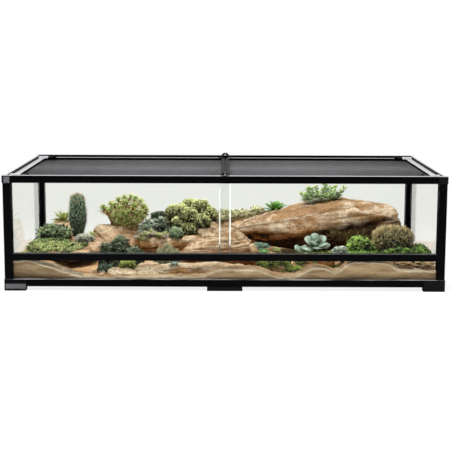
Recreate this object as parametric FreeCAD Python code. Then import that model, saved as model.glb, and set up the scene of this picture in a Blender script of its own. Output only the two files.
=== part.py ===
"""Glass terrarium: extruded frame, sliding front doors, two hinged net lids and a desert landscape.

Millimetres. +X runs left to right, -Y is the front with the doors, +Z is up.
The origin is on the floor, in the middle of the footprint.
"""
import FreeCAD
import Part
import math
import os

V = FreeCAD.Vector

# Overall sizes of the frame, without the feet that stand proud of it
LENGTH = 1216.0
DEPTH = 606.0
HEIGHT = 320.0

# Frame extrusions
WALL = 1.5
RAIL_HEIGHT = 20.0
POST = 23.0
LEDGE_REACH = 23.0
LID_SEAT_REACH = 14.5
LID_SEAT_DROP = 15.0
LID_SEAT_THICKNESS = 2.0
FLOOR_LEDGE_HEIGHT = 8.0
FLOOR_LEDGE_THICKNESS = 4.0
SLOT_FLOOR = 6.0
SILL_BOTTOM = 85.0
SILL_HEIGHT = 19.0

# Glass and its grooves
GLASS = 5.0
GLASS_SLOT = 5.4
GROOVE_DEPTH = 8.0
GLASS_END_GAP = 0.5
GLASS_TOP_DROP = 9.0

# Sliding doors and their twin tracks
TRACK_WALL = 1.5
TRACK_SLOT = 6.0
TRACK_RECESS = 0.5
UPPER_TRACK_WEB = 2.0
LOWER_TRACK_HEIGHT = 7.0
LOWER_TRACK_FLOOR = 1.2
DOOR_OVERLAP = 31.0
DOOR_TOP_ENTRY = 8.0
DOOR_SIDE_GAP = 1.0
DOOR_BEVEL_WIDTH = 2.8
DOOR_BEVEL_DEPTH = 1.6

# Feet, base panel and top corner blocks
FOOT_RISE = 12.0
FOOT_ARM = 60.0
FOOT_WALL = 2.0
FOOT_ROUNDING = 4.0
CENTRE_FOOT_LENGTH = 98.0
BASE_PANEL = 8.0
PANEL_GAP = 1.0
CORNER_PROUD = 1.5
CORNER_CAP = 4.0

# Lids, their nets and the bar that carries them
LID_HEIGHT = 8.0
LID_BAR = 21.0
LID_INNER_BAR = 10.5
LID_SIDE_GAP = 1.2
LID_END_GAP = 1.5
LID_CENTRE_GAP = 2.0
CENTRE_BAR_WIDTH = 23.0
CENTRE_BAR_HEIGHT = 5.5
NET_THICKNESS = 1.0
NET_WIRE = 2.5
NET_SEAT = 8.0
NET_GAPS = 12

# Lid hinges on one shared line above the middle of the frame
HINGE_RISE = 3.0
PIN_RADIUS = 2.0
PIN_CLEARANCE = 0.05
KNUCKLE_RADIUS = 4.0
KNUCKLE_LENGTH = 10.0
KNUCKLE_GAP = 0.5
LEAF_LENGTH = 18.0
LEAF_START = 4.0
LEAF_THICKNESS = 1.5
BRACKET_THICKNESS = 3.0
BRACKET_FLANGE = 1.5
BRACKET_BASE = 24.0
BRACKET_TOP = 10.0
BRACKET_RISE = 8.0
BRACKET_HOOK = 4.0
BRACKET_HOOK_WIDTH = 12.0

# Sliding bolts on the lids
BOLT_LENGTH = 56.0
BOLT_WIDTH = 10.0
BOLT_THICKNESS = 3.5
BOLT_CLEARANCE = 0.3
BOLT_SETBACK = 0.5
BOLT_INSET = 34.0
GUIDE_LENGTH = 36.0
GUIDE_START = 2.0
GUIDE_WALL = 1.5
GUIDE_FLANGE = 4.0
GUIDE_FLANGE_THICKNESS = 1.2
KNOB_LENGTH = 7.0
KNOB_SETBACK = 2.0
KNOB_HEIGHT = 5.5
KNOB_WAIST = 1.2

# Room left between the landscape and the walls round it
LANDSCAPE_GAP = 0.6

# Levels and planes that several pieces share
FRAME_X = LENGTH / 2
FRAME_Y = DEPTH / 2
RAIL_TOP = FOOT_RISE + RAIL_HEIGHT
TOP_RAIL_BOTTOM = HEIGHT - RAIL_HEIGHT
SILL_TOP = SILL_BOTTOM + SILL_HEIGHT
SLOT_BOTTOM = FOOT_RISE + SLOT_FLOOR
PANEL_BOTTOM = FOOT_RISE + FLOOR_LEDGE_HEIGHT
PANEL_TOP = PANEL_BOTTOM + BASE_PANEL
GLASS_TOP = HEIGHT - GLASS_TOP_DROP
LID_BOTTOM = HEIGHT - LID_SEAT_DROP
LID_TOP = LID_BOTTOM + LID_HEIGHT
SEAT_BOTTOM = LID_BOTTOM - LID_SEAT_THICKNESS
LIP = GLASS_SLOT + 2 * WALL
TRACK_WIDTH = 2 * TRACK_SLOT + 3 * TRACK_WALL
FRONT_RAIL = TRACK_WIDTH + 2 * WALL
WALL_PLANE = WALL + GLASS_SLOT / 2
OUTER_DOOR_PLANE = WALL + TRACK_WALL + TRACK_SLOT / 2
INNER_DOOR_PLANE = OUTER_DOOR_PLANE + TRACK_SLOT + TRACK_WALL
TRACK_TOP = HEIGHT - UPPER_TRACK_WEB
LOWER_TRACK_BOTTOM = SILL_TOP - LOWER_TRACK_HEIGHT
FRONT_LIP = OUTER_DOOR_PLANE + GLASS_SLOT / 2 + WALL
HINGE_Z = HEIGHT + HINGE_RISE
SIDES = ("front", "back", "left", "right")


def box(low, high):
    """Box between two corners."""
    size = [b - a for a, b in zip(low, high)]
    return Part.makeBox(size[0], size[1], size[2], V(*low))


def on_side(side, inward, along, z):
    """Point given by its distance in from one face of the frame and its place along that face."""
    if side == "front":
        return V(along, inward - FRAME_Y, z)
    if side == "back":
        return V(along, FRAME_Y - inward, z)
    if side == "left":
        return V(inward - FRAME_X, along, z)
    return V(FRAME_X - inward, along, z)


def side_box(side, inward, along, z):
    """Box given by its ranges in from a face, along that face and in height."""
    a = on_side(side, inward[0], along[0], z[0])
    b = on_side(side, inward[1], along[1], z[1])
    low = [min(p, q) for p, q in zip(a, b)]
    high = [max(p, q) for p, q in zip(a, b)]
    return box(low, high)


def reach(side):
    """Half the clear length between the corner posts along one side."""
    half = FRAME_X if side in ("front", "back") else FRAME_Y
    return half - POST


def extrusion(side, profile, half_length):
    """Profile of (inward, z) points run along one side of the frame."""
    points = [on_side(side, inward, -half_length, z) for inward, z in profile]
    end = on_side(side, 0, half_length, 0) - on_side(side, 0, -half_length, 0)
    return Part.Face(Part.makePolygon(points + points[:1])).extrude(end)


def joined(shapes):
    """One solid from overlapping or touching pieces."""
    return shapes[0].multiFuse(shapes[1:]).removeSplitter()


def bottom_rail(side):
    """Rail with a glass slot above and a ledge inside for the base panel."""
    plane = OUTER_DOOR_PLANE if side == "front" else WALL_PLANE
    slot_out = plane - GLASS_SLOT / 2
    slot_in = plane + GLASS_SLOT / 2
    ledge_bottom = PANEL_BOTTOM - FLOOR_LEDGE_THICKNESS
    profile = [
        (0, FOOT_RISE), (0, RAIL_TOP), (slot_out, RAIL_TOP), (slot_out, SLOT_BOTTOM),
        (slot_in, SLOT_BOTTOM), (slot_in, RAIL_TOP), (slot_in + WALL, RAIL_TOP),
        (slot_in + WALL, PANEL_BOTTOM), (LEDGE_REACH, PANEL_BOTTOM), (LEDGE_REACH, ledge_bottom),
        (WALL, ledge_bottom), (WALL, FOOT_RISE),
    ]
    return extrusion(side, profile, reach(side))


def bolt_y(end):
    """Centre line of the bolts at the front (-1) or back (+1) end of the lids."""
    low, high = lid_span()
    return low + BOLT_INSET if end < 0 else high - BOLT_INSET


def top_rail(side):
    """Rail with a lip over the glass and a seat for the lids; the front one is deep enough for the track."""
    lip = FRONT_RAIL if side == "front" else LIP
    seat_end = lip + LID_SEAT_REACH
    profile = [
        (0, TOP_RAIL_BOTTOM), (0, HEIGHT), (lip, HEIGHT), (lip, LID_BOTTOM),
        (seat_end, LID_BOTTOM), (seat_end, SEAT_BOTTOM), (lip - WALL, SEAT_BOTTOM),
        (lip - WALL, TRACK_TOP), (WALL, TRACK_TOP), (WALL, TOP_RAIL_BOTTOM),
    ]
    rail = extrusion(side, profile, reach(side))
    if side in ("left", "right"):
        half = BOLT_WIDTH / 2 + BOLT_CLEARANCE
        top = LID_TOP + BOLT_THICKNESS + 2 * BOLT_CLEARANCE
        for end in (-1, 1):
            middle = bolt_y(end)
            slot = side_box(side, (lip - WALL, lip), (middle - half, middle + half), (LID_TOP, top))
            rail = rail.cut(slot)
    return rail


def door_sill():
    """Front rail between the lower pane and the doors, with a recess for the lower track."""
    slot_out = OUTER_DOOR_PLANE - GLASS_SLOT / 2
    slot_in = OUTER_DOOR_PLANE + GLASS_SLOT / 2
    slot_top = SILL_BOTTOM + GROOVE_DEPTH
    profile = [
        (0, SILL_BOTTOM), (0, SILL_TOP), (WALL, SILL_TOP), (WALL, LOWER_TRACK_BOTTOM),
        (FRONT_RAIL - WALL, LOWER_TRACK_BOTTOM), (FRONT_RAIL - WALL, SILL_TOP),
        (FRONT_RAIL, SILL_TOP), (FRONT_RAIL, SILL_BOTTOM), (slot_in, SILL_BOTTOM),
        (slot_in, slot_top), (slot_out, slot_top), (slot_out, SILL_BOTTOM),
    ]
    return extrusion("front", profile, reach("front"))


def track(closed_z, open_z, floor_z):
    """Twin channel: the closed face, the open face and the level of the slot floors."""
    edge = WALL
    profile = [(edge, closed_z), (edge, open_z)]
    for plane in (OUTER_DOOR_PLANE, INNER_DOOR_PLANE):
        near = plane - TRACK_SLOT / 2
        far = plane + TRACK_SLOT / 2
        profile += [(near, open_z), (near, floor_z), (far, floor_z), (far, open_z)]
    profile += [(edge + TRACK_WIDTH, open_z), (edge + TRACK_WIDTH, closed_z)]
    return extrusion("front", profile, reach("front"))


def upper_track():
    return track(TRACK_TOP, TOP_RAIL_BOTTOM + TRACK_RECESS, TRACK_TOP - UPPER_TRACK_WEB)


def lower_track():
    return track(LOWER_TRACK_BOTTOM, SILL_TOP, LOWER_TRACK_BOTTOM + LOWER_TRACK_FLOOR)


def corner_column(x_side, y_side, bottom, top):
    """Corner section with its grooves for the panes, and for the doors at the front."""
    y_end = -FRAME_Y if y_side == "front" else FRAME_Y - POST
    column = side_box(x_side, (0, POST), (y_end, y_end + POST), (bottom, top))
    groove = POST - GROOVE_DEPTH
    inner_y = -1 if y_side == "front" else 1
    span = sorted((inner_y * (FRAME_Y - POST), inner_y * (FRAME_Y - groove)))
    half = GLASS_SLOT / 2
    wall_groove = (WALL_PLANE - half, WALL_PLANE + half)
    column = column.cut(side_box(x_side, wall_groove, span, (bottom, top)))
    inner_x = -1 if x_side == "left" else 1
    span = sorted((inner_x * (FRAME_X - POST), inner_x * (FRAME_X - groove)))
    planes = [(WALL_PLANE, GLASS_SLOT)]
    if y_side == "front":
        planes = [(OUTER_DOOR_PLANE, TRACK_SLOT), (INNER_DOOR_PLANE, TRACK_SLOT)]
    for plane, width in planes:
        across = (plane - width / 2, plane + width / 2)
        column = column.cut(side_box(y_side, across, span, (bottom, top)))
    return column


def top_corner(x_side, y_side):
    """Moulded block that closes a post and stands a little proud of the rails."""
    body = corner_column(x_side, y_side, TOP_RAIL_BOTTOM, HEIGHT - CORNER_CAP)
    y_sign = -1 if y_side == "front" else 1
    x_sign = -1 if x_side == "left" else 1
    y_full = sorted((y_sign * (FRAME_Y - POST), y_sign * (FRAME_Y + CORNER_PROUD)))
    x_full = sorted((x_sign * (FRAME_X - POST), x_sign * (FRAME_X + CORNER_PROUD)))
    cap = box((x_full[0], y_full[0], HEIGHT - CORNER_CAP), (x_full[1], y_full[1], HEIGHT))
    skin_x = side_box(x_side, (-CORNER_PROUD, 0), y_full, (TOP_RAIL_BOTTOM, HEIGHT))
    skin_y = side_box(y_side, (-CORNER_PROUD, 0), x_full, (TOP_RAIL_BOTTOM, HEIGHT))
    return joined([body, cap, skin_x, skin_y]).cut(lid_room())


def lid_room():
    """Space inside the lips, above the lid seats."""
    low = (-FRAME_X + LIP, -FRAME_Y + FRONT_RAIL, LID_BOTTOM)
    high = (FRAME_X - LIP, FRAME_Y - LIP, HEIGHT)
    return box(low, high)


def corner_foot(x_side, y_side):
    """Moulded L under a corner: a thick floor and two thin walls outside the rails."""
    y_sign = -1 if y_side == "front" else 1
    x_sign = -1 if x_side == "left" else 1
    outer_x = FRAME_X + FOOT_WALL
    outer_y = FRAME_Y + FOOT_WALL
    arm_width = POST + FOOT_WALL
    pieces = []
    for arm_x, arm_y in ((FOOT_ARM, arm_width), (arm_width, FOOT_ARM)):
        x = sorted((x_sign * outer_x, x_sign * (outer_x - arm_x)))
        y = sorted((y_sign * outer_y, y_sign * (outer_y - arm_y)))
        pieces.append(box((x[0], y[0], 0), (x[1], y[1], RAIL_TOP)))
    foot = joined(pieces)
    room = box((-FRAME_X, -FRAME_Y, FOOT_RISE), (FRAME_X, FRAME_Y, RAIL_TOP))
    foot = foot.cut(room)
    corner = V(x_sign * outer_x, y_sign * outer_y, RAIL_TOP / 2)
    edges = [e for e in foot.Edges if e.CenterOfMass.distanceToPoint(corner) < WALL]
    return foot.makeFillet(min(FOOT_ROUNDING, FOOT_WALL * 2), edges)


def centre_foot(side):
    """Block under the middle of a rail, with a tongue up into its channel."""
    half = CENTRE_FOOT_LENGTH / 2
    ledge_bottom = PANEL_BOTTOM - FLOOR_LEDGE_THICKNESS
    block = side_box(side, (0, LEDGE_REACH), (-half, half), (0, FOOT_RISE))
    tongue = side_box(side, (WALL, LEDGE_REACH), (-half, half), (FOOT_RISE, ledge_bottom))
    return joined([block, tongue])


def base_panel():
    """Board on the ledges, notched round the posts."""
    x = FRAME_X - LIP - PANEL_GAP
    front = -FRAME_Y + FRONT_LIP + PANEL_GAP
    back = FRAME_Y - LIP - PANEL_GAP
    panel = box((-x, front, PANEL_BOTTOM), (x, back, PANEL_TOP))
    return panel.cut(post_room(PANEL_BOTTOM, PANEL_TOP, PANEL_GAP))


def post_room(bottom, top, gap):
    """The four corners that the posts take up, with some room round them."""
    size = POST + gap
    corners = []
    for x in (-FRAME_X, FRAME_X - size):
        for y in (-FRAME_Y, FRAME_Y - size):
            corners.append(box((x, y, bottom), (x + size, y + size, top)))
    return Part.Compound(corners)


def wall_pane(side):
    """Back or side pane, from slot floor to under the top lip, held in the posts' grooves."""
    half = reach(side) + GROOVE_DEPTH - GLASS_END_GAP
    across = (WALL_PLANE - GLASS / 2, WALL_PLANE + GLASS / 2)
    return side_box(side, across, (-half, half), (SLOT_BOTTOM, GLASS_TOP))


def front_pane():
    """Fixed lower pane between the bottom rail and the door sill."""
    half = reach("front") + GROOVE_DEPTH - GLASS_END_GAP
    across = (OUTER_DOOR_PLANE - GLASS / 2, OUTER_DOOR_PLANE + GLASS / 2)
    return side_box("front", across, (-half, half), (SLOT_BOTTOM, SILL_BOTTOM + GROOVE_DEPTH - GLASS_END_GAP))


def door(which):
    """Sliding pane standing in the lower track, bevelled down its free edge; the left one runs outside."""
    outer = reach("front") + GROOVE_DEPTH - DOOR_SIDE_GAP
    inner = DOOR_OVERLAP / 2
    sign = -1 if which == "left" else 1
    plane = OUTER_DOOR_PLANE if which == "left" else INNER_DOOR_PLANE
    half = GLASS / 2
    flat = half - DOOR_BEVEL_DEPTH
    shoulder = DOOR_BEVEL_WIDTH - inner
    outline = [(outer, -half), (shoulder, -half), (-inner, -flat),
               (-inner, flat), (shoulder, half), (outer, half)]
    bottom = LOWER_TRACK_BOTTOM + LOWER_TRACK_FLOOR
    points = [on_side("front", plane + across, sign * along, bottom) for along, across in outline]
    height = TOP_RAIL_BOTTOM + DOOR_TOP_ENTRY - bottom
    return Part.Face(Part.makePolygon(points + points[:1])).extrude(V(0, 0, height))


def lid_span():
    """Front and back edges of the lids."""
    return -FRAME_Y + FRONT_RAIL + LID_END_GAP, FRAME_Y - LIP - LID_END_GAP


def lid_reach():
    """Inner and outer edges of a lid, from the middle of the frame."""
    return LID_CENTRE_GAP / 2, FRAME_X - LIP - LID_SIDE_GAP


def centre_bar():
    """Bar under the lids' inner edges, hung below the front and back lid seats."""
    front = -FRAME_Y + FRONT_RAIL
    back = FRAME_Y - LIP
    half = CENTRE_BAR_WIDTH / 2
    beam = box((-half, front, SEAT_BOTTOM - CENTRE_BAR_HEIGHT), (half, back, SEAT_BOTTOM))
    pad_front = front + LID_SEAT_REACH
    pad_back = back - LID_SEAT_REACH
    pad = box((-half, pad_front, SEAT_BOTTOM), (half, pad_back, LID_BOTTOM))
    return joined([beam, pad])


def lid_rings(sign):
    """Outer and inner rectangles of a lid frame, as corner points in the same order."""
    inner, outer = lid_reach()
    front, back = lid_span()
    ring = [(inner, front), (outer, front), (outer, back), (inner, back)]
    hole = [(inner + LID_INNER_BAR, front + LID_BAR), (outer - LID_BAR, front + LID_BAR),
            (outer - LID_BAR, back - LID_BAR), (inner + LID_INNER_BAR, back - LID_BAR)]
    return [(sign * x, y) for x, y in ring], [(sign * x, y) for x, y in hole]


def net_pocket(sign):
    """Corners of the net, which reaches under the lid bars."""
    ring, hole = lid_rings(sign)
    x = sorted((hole[0][0], hole[1][0]))
    y = sorted((hole[0][1], hole[2][1]))
    seat = min(NET_SEAT, LID_INNER_BAR - WALL)
    return (x[0] - seat, y[0] - seat), (x[1] + seat, y[1] + seat)


def lid_frame(sign):
    """Four mitred bars, rebated below for the net."""
    ring, hole = lid_rings(sign)
    low, high = net_pocket(sign)
    rebate = box((low[0], low[1], LID_BOTTOM), (high[0], high[1], LID_BOTTOM + NET_THICKNESS))
    bars = []
    for i in range(len(ring)):
        j = (i + 1) % len(ring)
        corners = [V(x, y, LID_BOTTOM) for x, y in (ring[i], ring[j], hole[j], hole[i])]
        bar = Part.Face(Part.makePolygon(corners + corners[:1])).extrude(V(0, 0, LID_HEIGHT))
        bars.append(bar.cut(rebate))
    return Part.Compound(bars)


def rectangle(low, high, z):
    corners = [V(low[0], low[1], z), V(high[0], low[1], z), V(high[0], high[1], z), V(low[0], high[1], z)]
    return Part.makePolygon(corners + corners[:1])


def lid_net(sign):
    """Net as one holed sheet; its margin sits in the rebate of the bars."""
    low, high = net_pocket(sign)
    hole_ring = lid_rings(sign)[1]
    x = sorted((hole_ring[0][0], hole_ring[1][0]))
    y = sorted((hole_ring[0][1], hole_ring[2][1]))
    pitch_x = (x[1] - x[0]) / NET_GAPS
    pitch_y = (y[1] - y[0]) / NET_GAPS
    half = NET_WIRE / 2
    wires = [rectangle(low, high, LID_BOTTOM)]
    for i in range(NET_GAPS):
        for j in range(NET_GAPS):
            near = (x[0] + i * pitch_x + half, y[0] + j * pitch_y + half)
            far = (x[0] + (i + 1) * pitch_x - half, y[0] + (j + 1) * pitch_y - half)
            wires.append(rectangle(near, far, LID_BOTTOM))
    return Part.Face(wires, "Part::FaceMakerBullseye").extrude(V(0, 0, NET_THICKNESS))


def knuckle_spans(end):
    """Places along the hinge line of the left and right knuckles at one end of the lids."""
    edge = lid_span()[0] if end < 0 else lid_span()[1]
    spans = []
    for slot in range(2):
        near = edge - end * slot * (KNUCKLE_LENGTH + KNUCKLE_GAP)
        spans.append(sorted((near, near - end * KNUCKLE_LENGTH)))
    return spans if end < 0 else spans[::-1]


def hinge_leaf(sign, end):
    """Leaf screwed on a lid's inner corner, rising to its knuckle."""
    low, high = knuckle_spans(end)[0 if sign < 0 else 1]
    outer = LEAF_START + LEAF_LENGTH
    arm = [(0, HINGE_Z + KNUCKLE_RADIUS), (LEAF_START + LEAF_LENGTH / 2, LID_TOP + LEAF_THICKNESS),
           (outer, LID_TOP + LEAF_THICKNESS), (outer, LID_TOP), (LEAF_START, LID_TOP),
           (0, HINGE_Z - KNUCKLE_RADIUS)]
    points = [V(sign * x, low, z) for x, z in arm]
    arm_solid = Part.Face(Part.makePolygon(points + points[:1])).extrude(V(0, high - low, 0))
    centre = V(0, low, HINGE_Z)
    barrel = Part.makeCylinder(KNUCKLE_RADIUS, high - low, centre, V(0, 1, 0))
    bore = Part.makeCylinder(PIN_RADIUS + PIN_CLEARANCE, high - low, centre, V(0, 1, 0))
    return joined([barrel, arm_solid]).cut(bore)


def bracket_face(end):
    """Plane of a bracket's cheek that faces the lids."""
    return -FRAME_Y + FRONT_RAIL if end < 0 else FRAME_Y - LIP


def hinge_bracket(end):
    """Trapezoid cheek on the rail with a flange that hooks over the rail's outer edge."""
    face = bracket_face(end)
    outer = end * FRAME_Y
    top = HINGE_Z + BRACKET_RISE - HINGE_RISE
    half_base = BRACKET_BASE / 2
    half_top = BRACKET_TOP / 2
    outline = [(-half_base, HEIGHT), (half_base, HEIGHT), (half_base, HEIGHT + BRACKET_FLANGE),
               (half_top, top), (-half_top, top), (-half_base, HEIGHT + BRACKET_FLANGE)]
    points = [V(x, face, z) for x, z in outline]
    cheek = Part.Face(Part.makePolygon(points + points[:1])).extrude(V(0, end * BRACKET_THICKNESS, 0))
    y = sorted((face, outer))
    hook_half = BRACKET_HOOK_WIDTH / 2
    flange = box((-hook_half, y[0], HEIGHT), (hook_half, y[1], HEIGHT + BRACKET_FLANGE))
    y = sorted((outer, outer + end * BRACKET_FLANGE))
    hook = box((-hook_half, y[0], HEIGHT - BRACKET_HOOK), (hook_half, y[1], HEIGHT + BRACKET_FLANGE))
    hole = Part.makeCylinder(PIN_RADIUS, BRACKET_THICKNESS, V(0, face, HINGE_Z), V(0, end, 0))
    return joined([cheek, flange, hook]).cut(hole)


def hinge_pin(end):
    """Pin from the bracket's cheek through both knuckles."""
    start = bracket_face(end) + end * BRACKET_THICKNESS
    length = BRACKET_THICKNESS + LID_END_GAP + 2 * KNUCKLE_LENGTH + 2 * KNUCKLE_GAP
    return Part.makeCylinder(PIN_RADIUS, length, V(0, start, HINGE_Z), V(0, -end, 0))


def bolt_tip():
    """Outer end of a drawn-back bolt, from the middle of the frame."""
    return lid_reach()[1] - BOLT_SETBACK


def lid_box(sign, inward, across, z, end):
    """Box on a lid, measured in from a bolt's tip and across its centre line."""
    x = sorted(sign * (bolt_tip() - d) for d in inward)
    y = bolt_y(end)
    return box((x[0], y + across[0], z[0]), (x[1], y + across[1], z[1]))


def bolt_guide(sign, end):
    """Tunnel with two flanges on the lid's outer bar."""
    inner = BOLT_WIDTH / 2 + BOLT_CLEARANCE
    outer = inner + GUIDE_WALL
    roof = LID_TOP + BOLT_THICKNESS + 2 * BOLT_CLEARANCE
    span = (GUIDE_START, GUIDE_START + GUIDE_LENGTH)
    hood = lid_box(sign, span, (-outer, outer), (LID_TOP, roof + GUIDE_WALL), end)
    wide = outer + GUIDE_FLANGE
    flange = lid_box(sign, span, (-wide, wide), (LID_TOP, LID_TOP + GUIDE_FLANGE_THICKNESS), end)
    tunnel = lid_box(sign, span, (-inner, inner), (LID_TOP, roof), end)
    return joined([hood, flange]).cut(tunnel)


def bolt(sign, end):
    """Flat bolt with a waisted thumb knob at its inner end."""
    half = BOLT_WIDTH / 2
    bottom = LID_TOP + BOLT_CLEARANCE
    top = bottom + BOLT_THICKNESS
    bar = lid_box(sign, (0, BOLT_LENGTH), (-half, half), (bottom, top), end)
    inner = BOLT_LENGTH - KNOB_SETBACK
    outline = [(inner, top), (inner - KNOB_WAIST, top + KNOB_HEIGHT / 2), (inner, top + KNOB_HEIGHT),
               (inner - KNOB_LENGTH, top + KNOB_HEIGHT),
               (inner - KNOB_LENGTH + KNOB_WAIST, top + KNOB_HEIGHT / 2), (inner - KNOB_LENGTH, top)]
    y = bolt_y(end)
    points = [V(sign * (bolt_tip() - d), y - half, z) for d, z in outline]
    knob = Part.Face(Part.makePolygon(points + points[:1])).extrude(V(0, BOLT_WIDTH, 0))
    return joined([bar, knob])


# Landscape. Places and sizes are shares of the living space, so that it goes on filling the tank:
# x and y run from -1 to 1 between the walls, z from 0 on the base panel to 1 under the lid seats.
SAND_FLOOR = 0.03
SAND_SHELF = 0.125
SAND_TERRACE = 0.10
SAND_BANK = 0.195
SAND_RIDGE = 0.11
SAND_DUNE = 0.132
SAND_BLOCK = 0.185
FRONT_DEPTH = 0.18
REAR_DEPTH = 0.50
FRONT_SAND = [(-1, SAND_BANK), (-0.90, SAND_BANK), (-0.67, SAND_FLOOR), (-0.10, SAND_FLOOR),
              (-0.03, SAND_RIDGE), (0.15, SAND_RIDGE), (0.24, SAND_FLOOR), (0.33, SAND_FLOOR),
              (0.41, SAND_DUNE), (0.46, SAND_DUNE), (0.52, 2 * SAND_FLOOR), (0.575, SAND_BLOCK),
              (0.755, SAND_BLOCK), (0.80, SAND_TERRACE), (1, SAND_TERRACE)]
MIDDLE_SAND = [(-1, SAND_SHELF), (-0.82, SAND_SHELF), (-0.74, SAND_FLOOR), (0.55, SAND_FLOOR),
               (0.61, SAND_TERRACE), (1, SAND_TERRACE)]
REAR_SAND = [(-1, SAND_FLOOR), (1, SAND_FLOOR)]

LEFT_LEDGE = dict(x=-0.785, y=-0.15, half_x=0.205, half_y=0.64, foot=SAND_SHELF, top=0.225, turn=0.3)
BACK_LEFT = dict(x=-0.85, y=0.72, half_x=0.10, half_y=0.19, foot=SAND_FLOOR, top=0.32, turn=0.9)
BACK_MOUND = dict(x=-0.58, y=0.73, half_x=0.165, half_y=0.20, foot=SAND_FLOOR, top=0.28, turn=1.7)
MIDDLE_ROCK = dict(x=-0.29, y=0.12, half_x=0.19, half_y=0.27, foot=SAND_FLOOR, top=0.28, turn=2.3)
RIGHT_SLAB = dict(x=0.755, y=-0.51, half_x=0.235, half_y=0.30, foot=SAND_TERRACE, top=0.19, turn=0.7)
FRONT_ROCK = dict(x=0.42, y=-0.57, half_x=0.11, half_y=0.17, foot=SAND_FLOOR, top=0.19, turn=1.1)
FRONT_LEDGE = dict(x=0.225, y=-0.72, half_x=0.08, half_y=0.085, foot=SAND_FLOOR, top=0.125, turn=0.4)
ROSETTE_STONE = dict(x=0.21, y=-0.50, half_x=0.07, half_y=0.12, foot=SAND_FLOOR, top=0.2, turn=0.6)
PROP_STONE = dict(x=-0.62, y=0.02, half_x=0.05, half_y=0.10, foot=SAND_FLOOR, top=SAND_SHELF, turn=0.0)

# Long rocks, as sections from left to right: x, middle y, half of the depth, foot and top
BOULDER = [(0.055, 0.10, 0.07, 0.31, 0.37), (0.10, 0.11, 0.14, 0.255, 0.41), (0.19, 0.13, 0.23, 0.18, 0.487),
           (0.33, 0.15, 0.32, 0.125, 0.566), (0.46, 0.15, 0.33, SAND_TERRACE, 0.635),
           (0.61, 0.15, 0.33, SAND_TERRACE, 0.663), (0.75, 0.15, 0.32, SAND_TERRACE, 0.632),
           (0.84, 0.15, 0.28, SAND_TERRACE, 0.581), (0.885, 0.15, 0.20, 0.15, 0.51)]
CENTRE_SLAB = [(-0.235, -0.45, 0.16, SAND_FLOOR, 0.10), (-0.205, -0.45, 0.22, SAND_FLOOR, 0.20),
               (-0.145, -0.45, 0.27, SAND_FLOOR, 0.315), (-0.09, -0.45, 0.28, SAND_FLOOR, 0.39),
               (-0.03, -0.45, 0.28, SAND_FLOOR, 0.435), (0.04, -0.45, 0.27, SAND_FLOOR, 0.455),
               (0.09, -0.46, 0.25, SAND_FLOOR, 0.37), (0.135, -0.47, 0.2, SAND_FLOOR, 0.24)]
BACK_RIDGE = [(-0.41, 0.73, 0.15, SAND_FLOOR, 0.27), (-0.385, 0.73, 0.19, SAND_FLOOR, 0.34),
              (-0.22, 0.73, 0.20, SAND_FLOOR, 0.335), (0.03, 0.73, 0.20, SAND_FLOOR, 0.352),
              (0.19, 0.73, 0.20, SAND_FLOOR, 0.42), (0.30, 0.73, 0.20, SAND_FLOOR, 0.45),
              (0.345, 0.73, 0.15, SAND_FLOOR, 0.40)]

# Levels of a rock: share of its height, share of its plan, and shift of the plan
SLAB_FORM = [(0, 0.92, 0, 0), (0.45, 1.0, 0, 0), (0.8, 0.97, 0, 0), (1, 0.9, 0, 0)]
MOUND_FORM = [(0, 1.0, 0, 0), (0.45, 0.94, 0, 0), (0.8, 0.84, 0, 0), (1, 0.7, 0, 0)]
OVERHANG_FORM = [(0, 0.7, 0, 0.05), (0.55, 0.95, 0, 0), (0.85, 1.0, 0, 0), (1, 0.88, 0, 0)]

ROCK_SIDES = 11
SECTION_SIDES = 10
ROCK_WOBBLE = 0.07
BLUNTNESS = 0.8

COLUMN_CACTUS = dict(x=-0.758, y=0.30, half_x=0.047, half_y=0.096, foot=LEFT_LEDGE["top"], top=0.70, turn=0)
BARREL_CACTUS = dict(x=0.82, y=-0.37, half_x=0.095, half_y=0.19, foot=RIGHT_SLAB["top"], top=0.45, turn=0)
CLIPPED_BUSH = dict(x=-0.863, y=0.05, half_x=0.098, half_y=0.17, foot=LEFT_LEDGE["top"], top=0.415, turn=0)
STAR_SHRUB = dict(x=-0.54, y=0.73, half_x=0.12, half_y=0.14, foot=BACK_MOUND["top"], top=0.63, turn=0)
CUSHION_SHRUB = dict(x=-0.185, y=0.20, half_x=0.115, half_y=0.14, foot=MIDDLE_ROCK["top"], top=0.64, turn=0)
JUNIPER = dict(x=-0.345, y=0.75, half_x=0.06, half_y=0.12, foot=0.31, top=0.46, turn=0)
BLUE_BUSH = dict(x=-0.475, y=-0.66, half_x=0.08, half_y=0.17, foot=SAND_FLOOR, top=0.41, turn=0)
LEAFY_SHRUB = dict(x=0.49, y=0.16, half_x=0.115, half_y=0.16, foot=0.54, top=0.80, turn=0)
BRIGHT_BUSH = dict(x=0.645, y=-0.52, half_x=0.075, half_y=0.14, foot=RIGHT_SLAB["top"], top=0.40, turn=0)
GLAUCOUS = dict(x=0.42, y=-0.57, half_x=0.09, half_y=0.13, foot=FRONT_ROCK["top"], top=0.41, turn=0)

AGAVE = dict(x=-0.86, y=0.70, half_x=0.045, half_y=0.09, foot=BACK_LEFT["top"], top=0.45, turn=0)
GREEN_ROSETTE = dict(x=0.265, y=0.72, half_x=0.06, half_y=0.11, foot=0.40, top=0.56, turn=0)
DARK_ROSETTE = dict(x=0.18, y=-0.52, half_x=0.04, half_y=0.08, foot=ROSETTE_STONE["top"], top=0.29, turn=0)
SHELF_ROSETTE = dict(x=-0.39, y=0.0, half_x=0.06, half_y=0.09, foot=MIDDLE_ROCK["top"], top=0.37, turn=0)
SMALL_ROSETTE = dict(x=-0.30, y=-0.88, half_x=0.024, half_y=0.045, foot=SAND_FLOOR, top=0.085, turn=0)

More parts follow.
